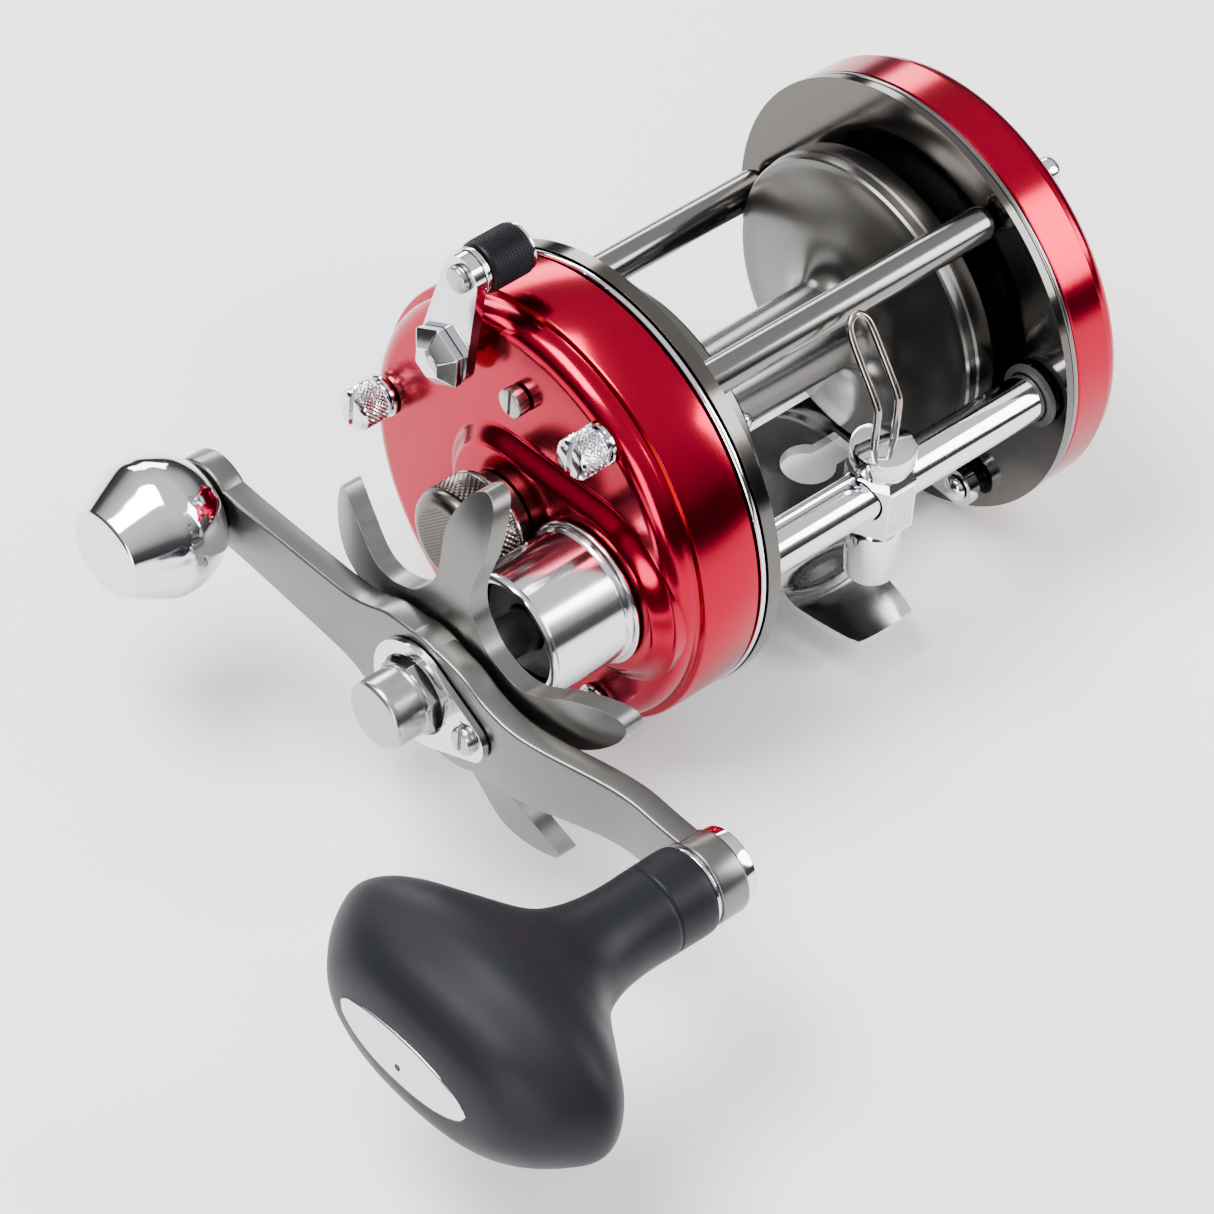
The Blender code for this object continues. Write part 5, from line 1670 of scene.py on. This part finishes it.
    def spindles(self) -> None:
        """The riveted spindles that the two knobs turn on."""
        for name, spot, bright in (("small_knob_spindle", self.small, 3.4),
                                   ("power_knob_spindle", self.power, 5.6)):
            box = Extent.of(name)
            eye_x = self.hub_x if name.startswith("small") else self.power_x
            back = eye_x + self.thickness / 2 + 0.3
            front = eye_x - self.thickness / 2 - 0.3
            profile = [(box.high.x, 0), (box.high.x, bright - 0.6),
                       (box.high.x - 0.4, bright - 0.1), (back + 0.2, bright), (back, bright),
                       (back, 1.6), (front, 1.6),
                       (box.low.x, 1.6), (box.low.x, 0)]
            if name.startswith("power"):
                profile[6:7] = [(front, 1.6), (front, 5.5), (front - 0.3, 5.7),
                                (front - 0.7, 5.6), (front - 0.7, 1.6)]
            mesh = Lathe.about((spot.y, DRIVE_YZ[1])).mesh(name, rounded(profile, 0.12), 64)
            self.piece(f"{name}_turned", mesh, CHROME, "chrome", name)


@dataclass
class SmallKnob(Assembly):
    """The bright plated knob with a full waist and a flat, ringed end."""

    body: str = "small_knob"

    def build(self) -> None:
        """Build the knob."""
        box = Extent.of("small_knob")
        length = box.size.x
        widest = box.size.z / 2
        side = spline([(0.2, 6.9), (0.9, 7.7), (3.0, 9.0), (5.6, 9.85), (7.4, widest),
                       (9.2, 9.75), (12.2, 8.3), (length - 1.2, 6.9), (length - 0.4, 6.5)], 6)
        profile = [(0, 2.0), (0, 6.4), *[tuple(point) for point in side],
                   (length - 0.15, 6.2), (length, 5.7), (length - 0.12, 5.3), (length - 0.12, 0),
                   (length - 3, 0), (length - 3, 2.0)]
        lathe = Lathe.about(box.yz, box.high.x, Axis.DOWN_X)
        self.piece("bright_knob", lathe.mesh("bright_knob", profile, 128), CHROME, "chrome",
                   "small_knob")


@dataclass
class PowerKnob(Assembly):
    """The soft T-shaped knob with a seam round its neck and a bright inlay on its end."""

    body: str = "power_knob"
    neck: float = 6.3
    seam: float = 6.2
    sides: int = 96
    inlay_length: float = 24.4
    inlay_shift: float = 1.2
    inlay_width: float = 8.4

    def build(self) -> None:
        """Build the grip, the inlay and its small hole."""
        box = Extent.of("power_knob")
        start, end = box.high.x, box.low.x
        length = start - end
        half, thick = box.size.y / 2, box.size.z / 2
        axis = box.yz
        stations = [
            (0.0, self.neck - 0.55, self.neck - 0.55), (0.45, self.neck, self.neck),
            (5.9, self.neck, self.neck), (12.0, self.neck, self.neck),
            (17.5, self.neck + 1.0, self.neck + 0.5), (22.0, 10.0, 8.0), (27.0, 17.0, 10.6),
            (31.0, half - 2.4, thick - 0.9), (35.0, half, thick), (39.0, half - 1.4, thick - 0.7),
            (43.0, half - 4.6, thick - 1.9), (45.8, 16.5, 9.2), (length - 0.4, 11.0, 6.2),
            (length, 4.5, 2.6),
        ]
        rows = [(depth, min(long, half), min(wide, thick))
                for depth, long, wide in spline(stations, 6)]
        seam = [(self.seam - 0.25, 0.0), (self.seam - 0.08, 0.22), (self.seam + 0.08, 0.22),
                (self.seam + 0.25, 0.0)]
        rows += [(depth, self.neck - sink, self.neck - sink) for depth, sink in seam]
        rows = sorted(rows)
        rows = [row for row in rows
                if not (abs(row[0] - self.seam) < 0.24 and row[1] >= self.neck)]
        sections = []
        for depth, long, wide in rows:
            flat = min(1.0, max(0.0, (depth - 20) / 12))
            power = 1 - 0.1 * flat
            loop = []
            for index in range(self.sides):
                turn = FULL_TURN * index / self.sides
                c, s = math.cos(turn), math.sin(turn)
                loop.append((start - max(depth, 0.0),
                             axis[0] + long * math.copysign(abs(c) ** power, c),
                             axis[1] + wide * math.copysign(abs(s) ** power, s)))
            sections.append(loop)
        body = bmesh.new()
        loft(body, sections)
        tree = BVHTree.FromBMesh(body)
        self.piece("grip", mesh_from("grip", body, 60), RUBBER, "soft_rubber", "power_knob")
        self.inlay(tree, end, axis)

    def inlay(self, tree: BVHTree, end: float, axis: Point2) -> None:
        """A lens-shaped plate let into the end of the grip, with a small hole in it.

        Args:
            tree: The grip's surface.
            end: The X of the grip's far end.
            axis: The knob's axis, as (y, z).
        """
        across, along = 16, 44
        body = bmesh.new()
        edge_body = bmesh.new()
        for target, grow, lift in ((body, 0.0, 0.16), (edge_body, 0.28, 0.06)):
            rows = []
            for index in range(along + 1):
                share = index / along * 2 - 1
                y = axis[0] + self.inlay_shift + share * (self.inlay_length / 2 + grow)
                width = (self.inlay_width / 2) * (1 - abs(share) ** 2.2) ** 0.62 + 0.15 + grow
                row = []
                for step in range(across + 1):
                    z = axis[1] + (step / across * 2 - 1) * width
                    hit = tree.ray_cast(Vector((end - 50, y, z)), Vector((1, 0, 0)))[0]
                    inset = 0.14 if step in (0, across) or index in (0, along) else 0.0
                    row.append(target.verts.new((hit.x - lift + inset, y, z)))
                rows.append(row)
            for row, following in zip(rows, rows[1:]):
                for step in range(across):
                    target.faces.new((row[step], row[step + 1], following[step + 1],
                                      following[step]))
        for target, name, finish in ((body, "inlay", INLAY),
                                     (edge_body, "inlay_joint", SHADOW_GAP)):
            obj = self.piece(name, mesh_from(name, target, 50), finish, "soft_rubber")
            solid = obj.modifiers.new("thickness", "SOLIDIFY")
            solid.thickness = 0.5 * MM
            solid.offset = -1.0
        spot = (axis[0] + self.inlay_shift, axis[1] - 1.2)
        hole = tree.ray_cast(Vector((end - 50, *spot)), Vector((1, 0, 0)))[0]
        profile = [(hole.x - 0.2, 0), (hole.x - 0.2, 0.5), (hole.x + 0.3, 0.5), (hole.x + 0.3, 0)]
        mesh = Lathe.about(spot).mesh("inlay_hole", profile, 24)
        self.piece("inlay_hole", mesh, SHADOW_GAP, "soft_rubber")


# ---------------------------------------------------------------- clutch and cast control


@dataclass
class ClutchLever(Assembly):
    """The plated clutch lever with its faceted nut, rivet, washers and knurled roller."""

    body: str = "clutch_lever"
    pivot_end: float = 4.6
    tip_end: float = 3.3
    pivot_hole: float = 2.2
    tip_hole: float = 1.4

    def build(self) -> None:
        """Build the strap, the nut, the rivet and the roller."""
        box = Extent.of("clutch_lever")
        nut, rivet = Extent.of("lever_nut"), Extent.of("grip_rivet")
        pivot, tip = nut.yz, rivet.yz
        body = bmesh.new()
        extrude(body, [strap(pivot, self.pivot_end, tip, self.tip_end, 40),
                       circle(self.pivot_hole, 32, *pivot), circle(self.tip_hole, 24, *tip)],
                box.low.x, box.high.x)
        self.piece("lever_strap", mesh_from("lever_strap", body), CHROME, "chrome",
                   "clutch_lever", edge=0.3)
        self.faceted_nut(box, nut, pivot)
        self.roller(box, rivet, tip)

    def faceted_nut(self, strap_box: Extent, nut: Extent, at: Point2) -> None:
        """A hexagon nut that rises to a four-sided point.

        Args:
            strap_box: The strap's box.
            nut: The nut's box.
            at: Its axis, as (y, z).
        """
        seat = strap_box.low.x - 0.05
        body = bmesh.new()
        rings = []
        for x, radius in ((seat, 4.75), (seat - 1.1, 4.85), (seat - 1.35, 4.6),
                          (nut.low.x + 0.25, 2.5), (nut.low.x, 0.0)):
            if radius:
                rings.append([body.verts.new((x, *point)) for point in circle(radius, 6, *at)])
            else:
                rings.append([body.verts.new((x, *at))])
        skin(body, rings, False)
        body.faces.new(rings[0])
        Lathe.about(at).turn(body, [(seat + 0.2, 0), (seat + 0.2, 2.0), (nut.high.x, 2.0),
                                            (nut.high.x, 0)], 32)
        self.piece("lever_nut_faceted", mesh_from("lever_nut", body, 12), CHROME, "chrome",
                   "lever_nut", edge=0.15)

    def roller(self, strap_box: Extent, rivet: Extent, at: Point2) -> None:
        """The rivet, two thin washers, and the knurled roller that the thumb presses.

        Args:
            strap_box: The strap's box.
            rivet: The rivet's box.
            at: Its axis, as (y, z).
        """
        lathe = Lathe.about(at)
        head = strap_box.low.x - 0.05
        profile = rounded([(rivet.low.x, 0), (rivet.low.x, 1.9), (head, 2.1), (head, 1.2),
                           (rivet.high.x, 1.2), (rivet.high.x, 0)], 0.25)
        self.piece("lever_rivet", lathe.mesh("lever_rivet", profile, 48), STEEL, "turned_steel",
                   "grip_rivet")
        for index, radius in enumerate((3.55, 3.35)):
            x = strap_box.high.x + 0.12 + 0.5 * index
            ring = rounded([(x, 1.3), (x, radius), (x + 0.38, radius), (x + 0.38, 1.3)], 0.12)
            self.piece(f"lever_washer_{index}", lathe.mesh("lever_washer", ring, 64), CHROME,
                       "chrome")
        grip = Extent.of("lever_grip")
        start, end, radius = grip.low.x + 0.9, grip.high.x, grip.size.z / 2
        knurl = Knurl(start + 0.5, end - 0.9, 56, 0.13, 0.8)
        side = run((start + 0.5, radius), (end - 0.9, radius), knurl.rows(radius))
        profile = [(start, 1.5), (start, radius - 0.45), (start + 0.2, radius - 0.12), *side,
                   (end - 0.6, radius - 0.1), (end - 0.45, radius - 0.5), (end, radius - 0.6),
                   (end, 0), (end - 0.4, 0), (end - 0.4, 1.5)]
        mesh = lathe.mesh("roller", profile, knurl.sides(), knurl.relief)
        self.piece("lever_roller", mesh, BLACK_KNURL, "black_knurl", "lever_grip",
                   body="lever_grip")
        ring = rounded([(end - 0.55, radius - 1.6), (end - 0.55, radius - 0.2),
                        (end - 0.05, radius - 0.2), (end - 0.05, radius - 1.6)], 0.15)
        self.piece("roller_end_ring", lathe.mesh("roller_end_ring", ring, 64), CHROME, "chrome",
                   body="lever_grip")


@dataclass
class CastControl(Assembly):
    """The knurled cast control cap with a bright hem and a dotted end."""

    body: str = "cast_control"
    waist: float = 2.3

    def build(self) -> None:
        """Build the cap and its hem."""
        box = Extent.of("cast_control_cap")
        radius = box.size.z / 2
        length = box.size.x
        lathe = Lathe.about(SPOOL_YZ, box.high.x, Axis.DOWN_X)
        waist = self.waist
        knurl = Knurl(waist + 0.7, length - 1.75, 52, 0.3, 1.0)
        side = run((waist + 0.7, radius), (length - 1.75, radius), knurl.rows(radius))
        crown = corner(length - 1.5, radius - 2.1, 1.5, 1.9, 8)
        profile = [(0, 5.4), (0, 6.3), (waist, 6.3), (waist + 0.1, radius - 0.3),
                   (waist + 0.5, radius - 0.25), *side, (length - 1.65, radius - 0.3), *crown,
                   (length, 0), (length - 2, 0), (length - 2, 5.4)]
        mesh = lathe.mesh("cap", profile, knurl.sides(), knurl.relief)
        self.piece("cast_cap", mesh, CAP_STEEL, "black_knurl", "cast_control_cap")
        hem = rounded([(waist - 0.02, 6.4), (waist - 0.02, radius), (waist + 0.5, radius),
                       (waist + 0.5, 6.4)], 0.2)
        self.piece("cast_cap_hem", lathe.mesh("cast_cap_hem", hem, 128), CHROME, "chrome")


# ---------------------------------------------------------------- carried-over nodes


@dataclass
class CarriedNodes:
    """The CAD nodes that stay as they are and only take a better finish."""

    count: int = 0

    def dress(self) -> None:
        """Give each node the finish of its material slot."""
        for part in frame["record"]["subparts"]:
            node = frame["nodes"][part["node"]]
            finish = SLOT_FINISHES[part["material_slot"]]
            if not node.data.materials:
                node.data.materials.append(finish.material())
            for index in range(len(node.data.materials)):
                node.data.materials[index] = finish.material()
            self.count += 1
        LOG.info("%d nodes of the frame have their finishes", self.count)


# ---------------------------------------------------------------- studio


@dataclass
class Studio:
    """Floor, soft lights and camera."""

    aim: Point3 = (-36.45, -10.37, 11.72)
    bearing: float = 45.046
    tilt: float = 45.307
    roll: float = 4.61
    distance: float = 950.1
    lens: float = 207.58
    sensor: float = 36.0
    floor_half: float = 3000.0
    lamps: Sequence[tuple[str, Point3, float, Point2]] = (
        ("key", (-260.0, 120.0, 620.0), 9.0, (420.0, 300.0)),
        ("side", (420.0, -420.0, 380.0), 5.0, (260.0, 420.0)),
        ("front", (-520.0, -300.0, 160.0), 2.5, (200.0, 420.0)),
        ("back", (260.0, 620.0, 300.0), 4.0, (520.0, 200.0)),
    )

    def build(self) -> None:
        """Build the studio."""
        self.floor()
        self.sky()
        for name, place, power, size in self.lamps:
            self.lamp(name, place, power, size)
        self.camera()

    def floor(self) -> None:
        """A wide pale floor that just touches the covers' undersides."""
        level = CAD_BOX[0][2] / MM - 0.05
        half = self.floor_half
        body = bmesh.new()
        corners = [(-half, -half), (half, -half), (half, half), (-half, half)]
        body.faces.new([body.verts.new((x, y, level)) for x, y in corners])
        mesh = mesh_from("floor", body)
        mesh.materials.append(FLOOR.material())
        obj = bpy.data.objects.new("floor", mesh)
        bpy.context.collection.objects.link(obj)

    @staticmethod
    def sky() -> None:
        """A soft surround, bright above and dimmer towards the horizon."""
        world = bpy.data.worlds.new("studio")
        world.use_nodes = True
        tree = world.node_tree
        place = tree.nodes.new("ShaderNodeTexCoord")
        split = tree.nodes.new("ShaderNodeSeparateXYZ")
        ramp = tree.nodes.new("ShaderNodeValToRGB")
        tree.links.new(place.outputs["Generated"], split.inputs[0])
        tree.links.new(split.outputs["Z"], ramp.inputs[0])
        stops = ramp.color_ramp.elements
        stops[0].position, stops[0].color = 0.0, (0.03, 0.03, 0.035, 1)
        stops[1].position, stops[1].color = 0.8, (1.0, 1.0, 1.0, 1)
        for position, grey in ((0.28, 0.10), (0.52, 0.62)):
            stops.new(position).color = (grey, grey, grey, 1)
        back = tree.nodes["Background"]
        tree.links.new(ramp.outputs[0], back.inputs["Color"])
        back.inputs["Strength"].default_value = 1.1
        bpy.context.scene.world = world

    def lamp(self, name: str, place: Point3, power: float, size: Point2) -> None:
        """One soft box.

        Args:
            name: Its name.
            place: Where it stands, in millimetres.
            power: Its power in watts.
            size: Its width and height, in millimetres.
        """
        light = bpy.data.lights.new(name, "AREA")
        light.shape = "RECTANGLE"
        light.size, light.size_y = size[0] * MM, size[1] * MM
        light.energy = power
        obj = bpy.data.objects.new(name, light)
        obj.location = Vector(place) * MM
        aim = Vector(self.aim) * MM - obj.location
        obj.rotation_euler = aim.to_track_quat("-Z", "Y").to_euler()
        bpy.context.collection.objects.link(obj)

    def camera(self) -> None:
        """The camera, which looks down past the handle side."""
        bearing, tilt, roll = (math.radians(a) for a in (self.bearing, self.tilt, self.roll))
        look = Vector((math.cos(bearing) * math.cos(tilt), math.sin(bearing) * math.cos(tilt),
                       -math.sin(tilt)))
        level = look.cross(Vector((0, 0, 1))).normalized()
        above = level.cross(look)
        right = level * math.cos(roll) + above * math.sin(roll)
        up = right.cross(look)
        data = bpy.data.cameras.new("camera")
        data.lens, data.sensor_width = self.lens, self.sensor
        data.clip_start = 0.05
        obj = bpy.data.objects.new("camera", data)
        place = (Vector(self.aim) - look * self.distance) * MM
        turn = Matrix((right, up, -look)).transposed().to_4x4()
        obj.matrix_world = Matrix.Translation(place) @ turn
        bpy.context.collection.objects.link(obj)
        bpy.context.scene.camera = obj


# ---------------------------------------------------------------- main


def main() -> None:
    """Build the reel's finished pieces in order, then the studio."""
    logging.basicConfig(level=logging.INFO, format="%(name)s: %(message)s")
    CarriedNodes().dress()
    assemblies: Iterable[Any] = (
        SidePlates(), RightCover(), BearingTube(), LeftCover(), Foot(), Spool(), LevelWind(),
        StarDrag(), Handle(), SmallKnob(), PowerKnob(), ClutchLever(), CastControl(),
    )
    for assembly in assemblies:
        assembly.build()
        LOG.info("%s is built", type(assembly).__name__)
    Studio().build()


if __name__ == "__main__":
    main()
